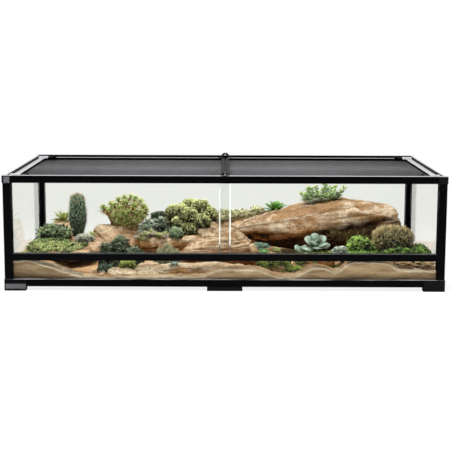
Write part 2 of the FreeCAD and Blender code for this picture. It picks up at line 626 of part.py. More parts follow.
LEDGE_MAT = dict(x=-0.835, y=-0.46, half_x=0.15, half_y=0.18, foot=LEFT_LEDGE["top"], top=0.275, turn=0)
SAGE_DOME = dict(x=-0.705, y=-0.05, half_x=0.05, half_y=0.10, foot=LEFT_LEDGE["top"], top=0.315, turn=0)
HEATHER = dict(x=0.06, y=0.73, half_x=0.125, half_y=0.11, foot=0.33, top=0.47, turn=0)
TEAL_MAT = dict(x=-0.375, y=0.28, half_x=0.07, half_y=0.10, foot=MIDDLE_ROCK["top"], top=0.40, turn=0)
GRASS_TUFT = dict(x=-0.30, y=-0.60, half_x=0.06, half_y=0.12, foot=SAND_FLOOR, top=0.33, turn=0)
RIGHT_MOSS = dict(x=0.855, y=-0.67, half_x=0.13, half_y=0.09, foot=RIGHT_SLAB["top"], top=0.29, turn=0)
FRONT_MOSS = dict(x=0.225, y=-0.72, half_x=0.07, half_y=0.07, foot=FRONT_LEDGE["top"], top=0.17, turn=0)
SHELF_BALL = dict(x=-0.245, y=-0.05, half_x=0.04, half_y=0.08, foot=MIDDLE_ROCK["top"], top=0.39, turn=0)

# Forms of the plants, as levels like those of the rocks
BUSH_FORM = [(0, 0.72, 0, 0), (0.3, 1.0, 0, 0), (0.65, 0.86, 0, 0), (0.88, 0.55, 0, 0), (1, 0.22, 0, 0)]
MAT_FORM = [(0, 1.0, 0, 0), (0.55, 0.9, 0, 0), (1, 0.6, 0, 0)]
ROSETTE_FORM = [(0, 0.35, 0, 0), (0.7, 1.0, 0, 0), (1, 0.55, 0, 0)]
COLUMN_FORM = [(0, 0.86, 0, 0), (0.45, 1.0, 0, 0), (0.8, 0.9, 0, 0), (0.94, 0.62, 0, 0), (1, 0.25, 0, 0)]
BARREL_FORM = [(0, 0.6, 0, 0), (0.2, 0.88, 0, 0), (0.5, 1.0, 0, 0), (0.8, 0.82, 0, 0), (1, 0.35, 0, 0)]
BUSH_SIDES = 12
BUSH_WOBBLE = 0.05
COLUMN_RIBS = 12
BARREL_RIBS = 18
ROSETTE_LEAVES = 9
RIB_DEPTH = 0.16
LEAF_DEPTH = 0.42


def living_point(x, y, z):
    """Point of the living space from its shares."""
    half_x = FRAME_X - LIP - LANDSCAPE_GAP
    front = -FRAME_Y + FRONT_LIP + LANDSCAPE_GAP
    back = FRAME_Y - LIP - LANDSCAPE_GAP
    middle_y = (front + back) / 2
    half_y = (back - front) / 2
    return V(x * half_x, middle_y + y * half_y, PANEL_TOP + z * (SEAT_BOTTOM - PANEL_TOP))


def lumpy_outline(sides, wobble, turn):
    """Closed outline round (0, 0) of about unit size, with a few slow bulges."""
    points = []
    for i in range(sides):
        angle = 2 * math.pi * i / sides + turn
        size = 1 - wobble + wobble * math.sin(3 * angle + turn)
        points.append((size * blunt(math.cos(angle)), size * blunt(math.sin(angle))))
    return points


def blunt(value):
    """Cosine or sine drawn towards its ends, which squares a round outline a little."""
    return math.copysign(abs(value) ** BLUNTNESS, value)


def star_outline(count, depth):
    """Closed outline with points and hollows by turns."""
    points = []
    for i in range(2 * count):
        size = 1 if i % 2 == 0 else 1 - depth
        angle = math.pi * i / count
        points.append((size * math.cos(angle), size * math.sin(angle)))
    return points


def polyhedron(rings):
    """Solid through closed rings of points; each pair of rings has parallel edges."""
    faces = [Part.Face(Part.makePolygon(ring + ring[:1])) for ring in (rings[0], rings[-1])]
    for low, high in zip(rings, rings[1:]):
        for i in range(len(low)):
            j = (i + 1) % len(low)
            faces.append(Part.Face(Part.makePolygon([low[i], low[j], high[j], high[i], low[i]])))
    return closed_solid(faces)


def closed_solid(faces):
    """Solid inside faces that meet all round."""
    shell = Part.makeShell(faces)
    shell.sewShape()
    solid = Part.makeSolid(shell)
    if solid.Volume < 0:
        solid.reverse()
    return solid


def lump(piece, form, outline):
    """Rock or plant: one outline at several levels, each scaled and shifted."""
    rings = []
    for rise, scale, shift_x, shift_y in form:
        z = piece["foot"] + rise * (piece["top"] - piece["foot"])
        ring = []
        for px, py in outline:
            x = piece["x"] + shift_x + scale * piece["half_x"] * px
            y = piece["y"] + shift_y + scale * piece["half_y"] * py
            ring.append(living_point(x, y, z))
        rings.append(ring)
    return polyhedron(rings)


def rock(piece, form):
    return lump(piece, form, lumpy_outline(ROCK_SIDES, ROCK_WOBBLE, piece["turn"]))


def bush(piece, form=BUSH_FORM):
    return lump(piece, form, lumpy_outline(BUSH_SIDES, BUSH_WOBBLE, piece["turn"]))


def rosette(piece):
    return lump(piece, ROSETTE_FORM, star_outline(ROSETTE_LEAVES, LEAF_DEPTH))


def section_outline():
    """Outline of a long rock's section, flat on top and below, within a square of half size one."""
    level = blunt(math.sin(math.pi * (SECTION_SIDES // 4) * 2 / SECTION_SIDES))
    points = []
    for i in range(SECTION_SIDES):
        angle = 2 * math.pi * i / SECTION_SIDES
        points.append((blunt(math.cos(angle)), blunt(math.sin(angle)) / level))
    return points


def long_rock(sections):
    """Rock lofted through its sections with flat triangles."""
    rings = []
    for x, y, half_y, foot, top in sections:
        middle = (foot + top) / 2
        half_z = (top - foot) / 2
        rings.append([living_point(x, y + half_y * py, middle + half_z * pz) for py, pz in section_outline()])
    faces = [Part.Face(Part.makePolygon(ring + ring[:1])) for ring in (rings[0], rings[-1])]
    for near, far in zip(rings, rings[1:]):
        for i in range(len(near)):
            j = (i + 1) % len(near)
            for corners in ([near[i], near[j], far[j]], [near[i], far[j], far[i]]):
                faces.append(Part.Face(Part.makePolygon(corners + corners[:1])))
    return closed_solid(faces)


def sand_bed():
    """Sand: a front strip heaped against the glass, a shelf and a terrace behind it, and a low back."""
    front = FRONT_DEPTH - 1
    rear = 1 - REAR_DEPTH
    strips = []
    for heights, start, end in ((FRONT_SAND, -1, front), (MIDDLE_SAND, front, rear), (REAR_SAND, rear, 1)):
        points = [living_point(x, start, z) for x, z in [(-1, 0)] + heights + [(1, 0)]]
        run = living_point(0, end, 0) - living_point(0, start, 0)
        strips.append(Part.Face(Part.makePolygon(points + points[:1])).extrude(run))
    bed = joined(strips)
    return bed.cut(post_room(PANEL_TOP, SILL_BOTTOM, LANDSCAPE_GAP))


def rocks():
    """Rocks by node."""
    return {
        "left_ledge_rock": [rock(LEFT_LEDGE, SLAB_FORM)],
        "back_rocks": [rock(BACK_LEFT, MOUND_FORM), rock(BACK_MOUND, MOUND_FORM), long_rock(BACK_RIDGE)],
        "middle_rock": [rock(MIDDLE_ROCK, OVERHANG_FORM)],
        "centre_slab_rock": [long_rock(CENTRE_SLAB)],
        "right_boulder": [long_rock(BOULDER)],
        "front_rocks": [rock(RIGHT_SLAB, SLAB_FORM), rock(FRONT_ROCK, SLAB_FORM),
                        rock(FRONT_LEDGE, SLAB_FORM), rock(ROSETTE_STONE, SLAB_FORM),
                        rock(PROP_STONE, MOUND_FORM)],
    }


def plants(stones):
    """Plants by node; those on a slope are fitted to the rock under them."""
    boulder = stones["right_boulder"][0]
    ridge = stones["back_rocks"][2]
    return {
        "column_cactus": [lump(COLUMN_CACTUS, COLUMN_FORM, star_outline(COLUMN_RIBS, RIB_DEPTH))],
        "barrel_cactus": [lump(BARREL_CACTUS, BARREL_FORM, star_outline(BARREL_RIBS, RIB_DEPTH))],
        "clipped_bush": [bush(CLIPPED_BUSH)],
        "star_shrub": [bush(STAR_SHRUB)],
        "cushion_shrub": [bush(CUSHION_SHRUB)],
        "juniper": [bush(JUNIPER).cut(ridge)],
        "blue_bush": [bush(BLUE_BUSH)],
        "leafy_shrub": [bush(LEAFY_SHRUB).cut(boulder)],
        "bright_bush": [bush(BRIGHT_BUSH)],
        "glaucous_succulent": [rosette(GLAUCOUS)],
        "rosette_plants": [rosette(AGAVE), rosette(GREEN_ROSETTE).cut(ridge), rosette(DARK_ROSETTE),
                           rosette(SHELF_ROSETTE), rosette(SMALL_ROSETTE)],
        "ground_cover": [bush(LEDGE_MAT, MAT_FORM), bush(SAGE_DOME), bush(HEATHER, MAT_FORM).cut(ridge),
                         bush(GRASS_TUFT), bush(RIGHT_MOSS, MAT_FORM), bush(FRONT_MOSS, MAT_FORM),
                         bush(SHELF_BALL), bush(TEAL_MAT)],
    }


def enclosure():
    """Frame, glass, doors, lids and their fittings by node."""
    nodes = {}
    corners = [(x, y) for x in ("left", "right") for y in ("front", "back")]
    for side in SIDES:
        nodes["bottom_rail_" + side] = [bottom_rail(side)]
        nodes["top_rail_" + side] = [top_rail(side)]
    for x, y in corners:
        nodes["corner_post_%s_%s" % (y, x)] = [corner_column(x, y, FOOT_RISE, TOP_RAIL_BOTTOM)]
    nodes["corner_feet"] = [corner_foot(x, y) for x, y in corners]
    nodes["centre_feet"] = [centre_foot("front"), centre_foot("back")]
    nodes["top_corners"] = [top_corner(x, y) for x, y in corners]
    nodes["base_panel"] = [base_panel()]
    nodes["door_sill"] = [door_sill()]
    nodes["door_track_upper"] = [upper_track()]
    nodes["door_track_lower"] = [lower_track()]
    for side in ("back", "left", "right"):
        nodes["glass_" + side] = [wall_pane(side)]
    nodes["glass_front_lower"] = [front_pane()]
    nodes["centre_bar"] = [centre_bar()]
    nodes["hinge_brackets"] = [hinge_bracket(end) for end in (-1, 1)]
    nodes["hinge_pins"] = [hinge_pin(end) for end in (-1, 1)]
    for side, sign in (("left", -1), ("right", 1)):
        nodes["door_" + side] = [door(side)]
        nodes["lid_frame_" + side] = lid_frame(sign).Solids
        nodes["lid_net_" + side] = [lid_net(sign)]
        nodes["hinge_leaves_" + side] = [hinge_leaf(sign, end) for end in (-1, 1)]
        nodes["bolt_guides_" + side] = [bolt_guide(sign, end) for end in (-1, 1)]
        for name, end in (("front", -1), ("back", 1)):
            nodes["bolt_%s_%s" % (name, side)] = [bolt(sign, end)]
    return nodes


def main():
    os.makedirs("parts", exist_ok=True)
    stones = rocks()
    nodes = enclosure()
    nodes["sand_bed"] = [sand_bed()]
    nodes.update(stones)
    nodes.update(plants(stones))
    for name, shapes in nodes.items():
        shape = shapes[0] if len(shapes) == 1 else Part.Compound(shapes)
        shape.exportStep("parts/%s.step" % name)


main()
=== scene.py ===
import math
import bmesh
import bpy
import numpy as np
from mathutils import Matrix, Vector, noise
from mathutils.bvhtree import BVHTree


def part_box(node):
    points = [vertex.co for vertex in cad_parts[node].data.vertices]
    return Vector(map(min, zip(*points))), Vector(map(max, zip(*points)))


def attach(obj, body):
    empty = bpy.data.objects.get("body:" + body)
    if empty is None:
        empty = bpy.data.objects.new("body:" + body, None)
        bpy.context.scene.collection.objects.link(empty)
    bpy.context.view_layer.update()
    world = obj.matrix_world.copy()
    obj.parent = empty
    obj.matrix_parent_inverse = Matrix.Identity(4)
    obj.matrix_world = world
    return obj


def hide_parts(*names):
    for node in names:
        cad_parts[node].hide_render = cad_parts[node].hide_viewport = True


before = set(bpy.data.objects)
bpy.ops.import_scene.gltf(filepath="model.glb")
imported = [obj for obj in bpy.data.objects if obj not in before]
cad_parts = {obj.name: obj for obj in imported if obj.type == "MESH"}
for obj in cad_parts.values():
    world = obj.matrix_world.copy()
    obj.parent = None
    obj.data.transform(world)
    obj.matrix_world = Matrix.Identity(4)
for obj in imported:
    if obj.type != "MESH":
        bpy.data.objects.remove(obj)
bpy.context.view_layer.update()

SCENE = bpy.context.scene
MM = 0.001
GOLDEN = math.pi * (3 - math.sqrt(5))
UP = np.array([0.0, 0.0, 1.0])
DOWN = Vector((0, 0, -1))

# The ground edges of the panes get painted shade up to this height
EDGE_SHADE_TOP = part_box("door_sill")[1][2] + 22 * MM

# The photograph's width and focal length in pixels, and the width of a sensor in millimetres
PHOTO_WIDTH = 452
FOCAL_PIXELS = 1163
SENSOR = 36.0

# The camera fitted to the photograph, in metres and degrees
CAMERA_PLACE = (0.0031, -3.4563, 0.6798)
CAMERA_PITCH = 8.96
CAMERA_ROLL = 0.174


# Colours and node graphs

def srgb(red, green, blue):
    """Linear colour from the 0-255 values of a picture."""
    shares = [value / 255 for value in (red, green, blue)]
    return tuple(s / 12.92 if s <= 0.04045 else ((s + 0.055) / 1.055) ** 2.4 for s in shares) + (1.0,)


def grey(level):
    return (level, level, level, 1)


class Graph:
    """Node tree of one material or world, with short calls for the nodes it uses."""

    def __init__(self, name, kind="materials"):
        self.owner = getattr(bpy.data, kind).new(name)
        self.owner.use_nodes = True
        self.tree = self.owner.node_tree
        self.tree.nodes.clear()

    def put(self, socket, value):
        if isinstance(value, bpy.types.NodeSocket):
            self.tree.links.new(value, socket)
        else:
            socket.default_value = value

    def add(self, kind, values=None, **settings):
        node = self.tree.nodes.new("ShaderNode" + kind)
        for key, value in settings.items():
            setattr(node, key, value)
        for key, value in (values or {}).items():
            self.put(node.inputs[key], value)
        return node

    def place(self):
        return self.add("TexCoord").outputs["Object"]

    def axis(self, vector, name):
        return self.add("SeparateXYZ", {"Vector": vector}).outputs[name]

    def noise(self, scale, detail, stretch=(1, 1, 1), rough=0.55):
        spot = self.add("Mapping", {"Vector": self.place(), "Scale": stretch}).outputs["Vector"]
        values = {"Vector": spot, "Scale": scale, "Detail": detail, "Roughness": rough}
        return self.add("TexNoise", values).outputs["Fac"]

    def value(self, name):
        return self.add("Attribute", attribute_name=name).outputs["Fac"]

    def seen(self):
        """1 where the camera looks straight on or through glass."""
        path = self.add("LightPath").outputs
        return self.math("MAXIMUM", path["Is Camera Ray"], path["Is Transmission Ray"])

    def ramp(self, share, stops):
        node = self.add("ValToRGB", {"Fac": share})
        elements = node.color_ramp.elements
        while len(elements) < len(stops):
            elements.new(0.5)
        for element, (position, colour) in zip(elements, stops):
            element.position = position
            element.color = colour
        return node.outputs["Color"]

    def mix(self, share, first, second, blend="MIX"):
        values = {0: share, 6: first, 7: second}
        return self.add("Mix", values, data_type="RGBA", blend_type=blend).outputs[2]

    def times(self, first, second):
        return self.mix(1.0, first, second, "MULTIPLY")

    def math(self, operation, first, second=0.0):
        return self.add("Math", {0: first, 1: second}, operation=operation).outputs[0]

    def fit(self, value, start, end, low=0.0, high=1.0):
        """Value taken from one range to another and held at its ends."""
        values = {"Value": value, "From Min": start, "From Max": end, "To Min": low, "To Max": high}
        return self.add("MapRange", values).outputs["Result"]

    def bump(self, height, distance, strength):
        values = {"Height": height, "Distance": distance, "Strength": strength}
        return self.add("Bump", values).outputs["Normal"]

    def blend(self, share, first, second):
        return self.add("MixShader", {0: share, 1: first, 2: second}).outputs[0]

    def principled(self, **values):
        named = {key.replace("_", " "): value for key, value in values.items()}
        return self.add("BsdfPrincipled", named).outputs["BSDF"]

    def surface(self, shader, output="OutputMaterial"):
        self.put(self.add(output).inputs["Surface"], shader)
        return self.owner


# Paints

FINE_GRIT = 0.06 * MM
GLEAM = (0.92, 0.92, 0.94, 1)

# Least share of a normal along an axis with which a face counts as facing that way
FACING_UP = 0.7
FACING_FRONT = 0.9
FACING_OUT = 0.97


def coat(name, dark, light, rough, sheen, grain=900.0, reach=1.0, metal=1.0, patchy=0.0):
    """Coat of a rail, moulding or fitting: dull face on, with a painted sheen on top at a glancing angle.

    The painted sheen shows only on faces that look up, ends at a reach to both sides of the middle and may be
    patchy along the rail. With metal it is a reflection limited to these places, without metal a painted
    highlight colour.
    """
    g = Graph(name)
    grit = g.noise(grain, 3.0)
    smear = g.noise(14.0, 3.0, (0.3, 1, 1))
    glance = g.math("POWER", g.add("LayerWeight", {"Blend": 0.5}).outputs["Facing"], 3.0)
    above = g.math("GREATER_THAN", g.axis(g.add("TexCoord").outputs["Normal"], "Z"), FACING_UP)
    within = g.math("LESS_THAN", g.math("ABSOLUTE", g.axis(g.place(), "X")), reach)
    bright = g.math("MULTIPLY", g.math("MULTIPLY", above, within), sheen)
    patches = g.fit(g.noise(7.0, 1.0, (1, 0, 0)), 0.4, 0.6, 1 - patchy, 1 + patchy)
    share = g.math("MINIMUM", g.math("MULTIPLY", g.math("MULTIPLY", glance, bright), patches), 1.0)
    body = g.ramp(grit, [(0.3, dark), (0.7, light)])
    return g.surface(g.principled(
        Base_Color=g.mix(share, body, GLEAM), Metallic=g.math("MULTIPLY", share, metal),
        Roughness=g.fit(smear, 0, 1, rough - 0.06, rough + 0.08), Normal=g.bump(grit, FINE_GRIT, 0.4),
        Specular_IOR_Level=0.015))


def painted_gleam_plastic(name, low, high, left, right, dark, light):
    """Black moulding with a painted gleam, a painted reflection, between two heights and two sides, whose
    lower edge is wavy.
    """
    g = Graph(name)
    grit = g.noise(500.0, 3.0)
    wave = g.math("MULTIPLY", g.math("SUBTRACT", g.noise(70.0, 2.0), 0.5), 10 * MM)
    height = g.axis(g.place(), "Z")
    side = g.math("ABSOLUTE", g.axis(g.place(), "X"))
    soft = 1.5 * MM
    share = 1.0
    for value, start, end in ((g.math("ADD", height, wave), low, low + 2 * soft), (height, high, high - soft),
                              (side, left, left - soft), (side, right, right + soft)):
        share = g.math("MULTIPLY", g.fit(value, start, end), share)
    gleam = g.ramp(grit, [(0.3, srgb(*dark)), (0.7, srgb(*light))])
    return g.surface(g.principled(
        Base_Color=g.mix(share, (0.002, 0.002, 0.0024, 1), gleam), Roughness=g.fit(grit, 0, 1, 0.3, 0.45),
        Normal=g.bump(grit, FINE_GRIT, 0.4), Specular_IOR_Level=0.02))


def pane_glass(name, axis, bend):
    """Clear pane with ground edges, which get painted shade near the sill.

    Axis is the one its faces look along, and bend is its index of refraction.
    """
    g = Graph(name)
    tint = g.ramp(g.noise(5.0, 3.0), [(0.3, (0.89, 0.90, 0.872, 1)), (0.7, (0.91, 0.92, 0.892, 1))])
    clear = g.principled(Base_Color=tint, Roughness=0.0, IOR=bend, Transmission_Weight=1.0)
    ground = g.ramp(g.noise(300.0, 3.0), [(0.25, (0.75, 0.83, 0.79, 1)), (0.75, (0.95, 0.97, 0.95, 1))])
    # Painted shade: the ground edges are dark up to this height and show their own colour above it
    lit = g.fit(g.axis(g.place(), "Z"), EDGE_SHADE_TOP, EDGE_SHADE_TOP + 4 * MM)
    edge = g.principled(Base_Color=g.mix(lit, (0.09, 0.1, 0.1, 1), ground), Roughness=0.45,
                        Transmission_Weight=0.25, IOR=1.45)
    normal = g.axis(g.add("NewGeometry").outputs["True Normal"], axis)
    rim = g.math("LESS_THAN", g.math("ABSOLUTE", normal), FACING_OUT)
    path = g.add("LightPath").outputs
    unbent = g.math("MAXIMUM", path["Is Shadow Ray"], path["Is Diffuse Ray"])
    through = g.add("BsdfTransparent", {"Color": (0.93, 0.94, 0.92, 1)}).outputs[0]
    return g.surface(g.blend(unbent, g.blend(rim, clear, edge), through))


def leaf_paint(name, deep, base, tip, rough):
    """Leaf colour from base to tip, with painted light and shade from its tint: darkened to the deep colour,
    as painted shade, where the leaf stands in its plant's gaps, and brighter where the tint is high.
    """
    g = Graph(name)
    along = g.ramp(g.value("along"), [(0.15, srgb(*base)), (0.95, srgb(*tip))])
    mottle = g.ramp(g.noise(240.0, 2.0), [(0.35, grey(0.88)), (0.65, grey(1.1))])
    # Painted light and shade: a high tint makes the leaf brighter, a low one darker
    painted_light_and_tint = g.ramp(g.value("tint"), [(0.45, grey(0.75)), (1.0, grey(1.2))])
    share = g.ramp(g.value("tint"), [(0.0, grey(0)), (0.6, grey(1))])
    colour = g.mix(share, srgb(*deep), g.times(g.times(along, mottle), painted_light_and_tint))
    worn = g.fit(g.noise(90.0, 2.0), 0, 1, rough - 0.1, rough + 0.1)
    return g.surface(g.principled(Base_Color=colour, Roughness=worn, Specular_IOR_Level=0.3))


def stone_paint(name, pale, main, warm, deep, stretch):
    """Bedded sandstone with painted light and shade: pale on faces that look up and warm to deep on its
    flanks and under them, with streaks, grit, and dark joints that also carry painted shade.
    """
    pale, main, warm, deep = [srgb(*colour) for colour in (pale, main, warm, deep)]
    g = Graph(name)
    streak = g.math("SUBTRACT", g.noise(18.0, 8.0, stretch, 0.65), 0.5)
    blotch = g.math("SUBTRACT", g.noise(12.0, 8.0, (1, 1, 1.2), 0.6), 0.5)
    # The sky value paints light on faces that look up and shade on those that look down
    level = g.math("ADD", g.value("sky"), g.math("MULTIPLY", streak, 1.5))
    level = g.math("ADD", level, g.math("MULTIPLY", blotch, 2.0))
    body = g.ramp(level, [(0.0, deep), (0.2, warm), (0.48, main), (0.82, pale), (1.0, main)])
    beds = g.ramp(g.value("layer"), [(0.2, (0.6, 0.5, 0.4, 1)), (0.42, grey(1)), (0.78, grey(1.12))])
    grit = g.noise(260.0, 5.0, (1, 1, 1.4), 0.75)
    grains = g.ramp(grit, [(0.38, (0.4, 0.36, 0.32, 1)), (0.48, grey(1)), (0.62, (1.35, 1.34, 1.32, 1))])
    gritty = g.times(g.mix(0.85, body, beds, "MULTIPLY"), grains)
    relief = g.noise(130.0, 7.0, (1, 1, 1.3), 0.75)
    return g.surface(g.principled(
        Base_Color=g.mix(g.value("joint"), gritty, deep), Roughness=0.92, Normal=g.bump(relief, 6 * MM, 1.0),
        Specular_IOR_Level=0.12))


def sand_paint():
    """Sand: brown where it is pressed against the glass, pale and gritty along its rim, tan on top."""
    g = Graph("desert_sand")
    grains = g.noise(700.0, 4.0, (1, 1, 1), 0.75)
    drift = g.noise(26.0, 5.0, (0.5, 1, 3), 0.65)

    def tones(*colours):
        return g.ramp(drift, list(zip((0.35, 0.5, 0.65), [srgb(*colour) for colour in colours])))

    pressed = tones((128, 104, 80), (152, 127, 99), (178, 152, 121))
    loose = tones((178, 132, 88), (206, 166, 122), (226, 198, 162))
    rim = g.ramp(drift, [(0.35, srgb(176, 160, 136)), (0.65, srgb(224, 210, 186))])
    packed = g.times(pressed, g.fit(g.axis(g.place(), "X"), -0.4, -0.2, 0.72, 1.0))
    colour = g.mix(g.value("rim"), g.mix(g.value("top"), packed, loose), rim)
    speck = g.ramp(grains, [(0.36, (0.64, 0.6, 0.56, 1)), (0.5, grey(1)), (0.64, (1.22, 1.2, 1.17, 1))])
    return g.surface(g.principled(
        Base_Color=g.times(colour, speck), Roughness=0.95, Normal=g.bump(grains, 1.6 * MM, 0.9),
        Specular_IOR_Level=0.1))


def bark_paint(name, dark, light):
    g = Graph(name)
    fibre = g.noise(160.0, 6.0, (1, 1, 0.25), 0.7)
    return g.surface(g.principled(
        Base_Color=g.ramp(fibre, [(0.3, srgb(*dark)), (0.68, srgb(*light))]), Roughness=0.85,
        Normal=g.bump(fibre, 1.2 * MM, 0.9), Specular_IOR_Level=0.15))


# Meshes

def finish_piece(obj, material, body="enclosure", nodes=()):
    """Gives a new piece its material and body, and hides the CAD nodes it stands for."""
    obj.data.materials.clear()
    obj.data.materials.append(material)
    obj.data.shade_smooth()
    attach(obj, body)
    if nodes:
        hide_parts(*nodes)
    return obj


def keep_values(mesh, **values):
    """Keeps one float per point under each name, for the paints to read."""
    for key, numbers in values.items():
        mesh.attributes.new(key, "FLOAT", "POINT").data.foreach_set("value", np.asarray(numbers, np.float32))


def new_object(name, points, faces, **values):
    """Mesh object from arrays, with one float per point for each named value."""
    mesh = bpy.data.meshes.new(name)
    mesh.from_pydata([tuple(p) for p in points], [], faces)
    keep_values(mesh, **values)
    obj = bpy.data.objects.new(name, mesh)
    SCENE.collection.objects.link(obj)
    return obj


def icosphere(subdivisions):
    """Points and faces of an even ball of radius 1."""
    form = bmesh.new()
    bmesh.ops.create_icosphere(form, subdivisions=subdivisions, radius=1.0)
    points = np.array([vert.co for vert in form.verts])
    faces = [tuple(vert.index for vert in face.verts) for face in form.faces]
    form.free()
    return points, faces


def tube_faces(rings, sides, first=0):
    """Faces of a tube through rings of points that follow each other, with both ends shut."""
    faces = []
    end = first + (rings - 1) * sides
    for start in range(first, end, sides):
        for k in range(sides):
            n = (k + 1) % sides
            faces.append((start + k, start + n, start + sides + n, start + sides + k))
    return faces + [tuple(range(first, first + sides))[::-1], tuple(range(end, end + sides))]


def unit(vectors):
    return vectors / (np.linalg.norm(vectors, axis=-1, keepdims=True) + 1e-12)


def leaf_axes(along, facing):
    """Rotations that lay leaves along one direction with their upper side towards another."""
    x = unit(along)
    z = unit(facing - (facing * x).sum(-1, keepdims=True) * x)
    y = np.cross(z, x)
    return np.stack([x, y, z], axis=-1)


def leaf(stations, tip, margin=0.0):
    """Closed leaf along +X through (along, half width, half thickness, lift) stations to the lift of its tip.

    Its margins are at least as pale as a leaf is at that share of its length.
    """
    points = [(0, 0, 0)]
    faces = []
    for along, wide, thick, lift in stations:
        sides = ((wide, 0), (0, thick), (-wide, 0), (0, -thick))
        points += [(along, across, lift + up) for across, up in sides]
    points.append((1, 0, tip))
    rings = len(stations)
    end = len(points) - 1
    for k in range(4):
        n = (k + 1) % 4
        faces.append((0, 1 + n, 1 + k))
        for ring in range(rings - 1):
            a = 1 + 4 * ring
            faces.append((a + k, a + n, a + 4 + n, a + 4 + k))
        a = 1 + 4 * (rings - 1)
        faces.append((a + k, a + n, end))
    points = np.array(points, float)
    along = np.clip(points[:, 0], 0, 1)
    return points, faces, np.where(points[:, 1] != 0, np.maximum(along, margin), along)


LANCE = leaf([(0.18, 0.07, 0.05, 0.0), (0.5, 0.105, 0.05, 0.03), (0.8, 0.06, 0.035, 0.02)], -0.05)
STRAP = leaf([(0.2, 0.09, 0.05, 0.0), (0.6, 0.15, 0.05, 0.04), (0.85, 0.1, 0.035, 0.02)], -0.06)
OVAL = leaf([(0.22, 0.17, 0.05, 0.02), (0.55, 0.29, 0.05, 0.06), (0.84, 0.2, 0.04, 0.07)], 0.05)
VARIEGATED = leaf([(0.25, 0.19, 0.04, 0.02), (0.6, 0.28, 0.04, 0.05)], 0.0, 0.95)
PADDLE = leaf([(0.2, 0.15, 0.08, 0.0), (0.5, 0.36, 0.1, 0.06), (0.75, 0.4, 0.09, 0.14),
               (0.93, 0.24, 0.06, 0.2)], 0.22)
SPATULA = leaf([(0.35, 0.12, 0.07, 0.0), (0.72, 0.24, 0.09, 0.06)], 0.14)
NEEDLE = leaf([(0.12, 0.035, 0.035, 0.0)], 0.0)
SPINE = leaf([(0.2, 0.06, 0.06, 0.0)], 0.0)
BLADE = leaf([(0.25, 0.028, 0.02, 0.02), (0.65, 0.024, 0.018, 0.0)], -0.16)


class Growth:
    """Collects the leaves, spines and stems of one plant into one mesh."""

    def __init__(self, seed):
        self.random = np.random.default_rng(seed)
        self.points, self.faces, self.along, self.tint = [], [], [], []
        self.count = 0

    def mesh(self, points, faces, along, tint):
        base = self.count
        self.points.append(np.asarray(points, float))
        self.faces += [tuple(base + i for i in face) for face in faces]
        self.along.append(np.broadcast_to(along, len(points)))
        self.tint.append(np.broadcast_to(tint, len(points)))
        self.count += len(points)

    def leaves(self, template, places, axes, sizes, tints):
        points, faces, along = template
        sizes = np.broadcast_to(sizes, len(places))
        spots = np.einsum("nij,kj->nki", axes * sizes[:, None, None], points) + places[:, None, :]
        step = len(points)
        everywhere = [tuple(n * step + i for i in face) for n in range(len(places)) for face in faces]
        self.mesh(spots.reshape(-1, 3), everywhere, np.tile(along, len(places)), np.repeat(tints, step))

    def stem(self, path, radii, sides=6):
        """Tapered tube through a few points."""
        path = np.asarray(path, float)
        radii = np.broadcast_to(radii, len(path))
        run = np.gradient(path, axis=0)
        side = unit(np.cross(run, np.array([0.31, 0.87, 0.38])))
        other = unit(np.cross(run, side))
        rings = []
        for k in range(sides):
            angle = 2 * math.pi * k / sides
            rings.append(path + radii[:, None] * (math.cos(angle) * side + math.sin(angle) * other))
        points = np.stack(rings, 1).reshape(-1, 3)
        self.mesh(points, tube_faces(len(path), sides), 0.0, 0.5)

    def rosette(self, template, centre, pole, count, length, low, high, shrink, tint):
        """Leaves spiralling round a pole, flat and long outside, upright and short inside.

        Low and high are the rises of the outer and inner leaves in degrees.
        """
        share = np.arange(count) / max(count - 1, 1)
        turn = np.arange(count) * GOLDEN + self.random.uniform(0, 6.28)
        rise = np.radians(low + (high - low) * share ** 0.9 + self.random.normal(0, 4, count))
        pole = unit(np.asarray(pole, float))
        side = unit(np.cross(pole, [0.57, 0.33, 0.75]))
        other = np.cross(pole, side)
        flat = np.cos(turn)[:, None] * side + np.sin(turn)[:, None] * other
        along = np.cos(rise)[:, None] * flat + np.sin(rise)[:, None] * pole
        sizes = length * (1 - (1 - shrink) * share) * self.random.uniform(0.88, 1.08, count)
        tints = np.clip(tint - 0.25 + 0.4 * share + self.random.normal(0, 0.12, count), 0, 1)
        places = np.asarray(centre) + flat * length * 0.04
        self.leaves(template, places, leaf_axes(along, pole - along * 0.2), sizes, tints)

    def build(self, name, material, slot="foliage", nodes=()):
        values = dict(along=np.concatenate(self.along), tint=np.concatenate(self.tint))
        points = np.clip(np.concatenate(self.points), ROOM_LOW, ROOM_HIGH)
        return finish_piece(new_object(name, points, self.faces, **values), material, nodes=nodes)


def islands(node):
    """Boxes of the separate solids of a CAD node, from left to right."""
    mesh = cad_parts[node].data
    keys = {}
    welded = [keys.setdefault(tuple(round(c, 6) for c in v.co), len(keys)) for v in mesh.vertices]
    parent = list(range(len(keys)))

    def root(i):
        while parent[i] != i:
            parent[i] = parent[parent[i]]
            i = parent[i]
        return i

    for polygon in mesh.polygons:
        corners = [welded[i] for i in polygon.vertices]
        for corner in corners[1:]:
            parent[root(corner)] = root(corners[0])
    groups = {}
    for spot, index in keys.items():
        groups.setdefault(root(index), []).append(spot)
    boxes = [(np.min(spots, 0), np.max(spots, 0)) for spots in groups.values()]
    return sorted(boxes, key=lambda b: b[0][0] + b[1][0])


def node_box(node):
    return tuple(np.array(corner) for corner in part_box(node))


def inside(box, share):
    """Point at a share of a box, from its lowest to its highest corner."""
    low, high = box
    return low + (high - low) * np.array(share)


def share_box(box, low_share, high_share):
    return inside(box, low_share), inside(box, high_share)


# The living space: the sand fills its floor, and the lid nets close it above
ROOM_LOW, ROOM_HIGH = node_box("sand_bed")
ROOM_HIGH[2] = node_box("lid_net_left")[0][2] - 4 * MM


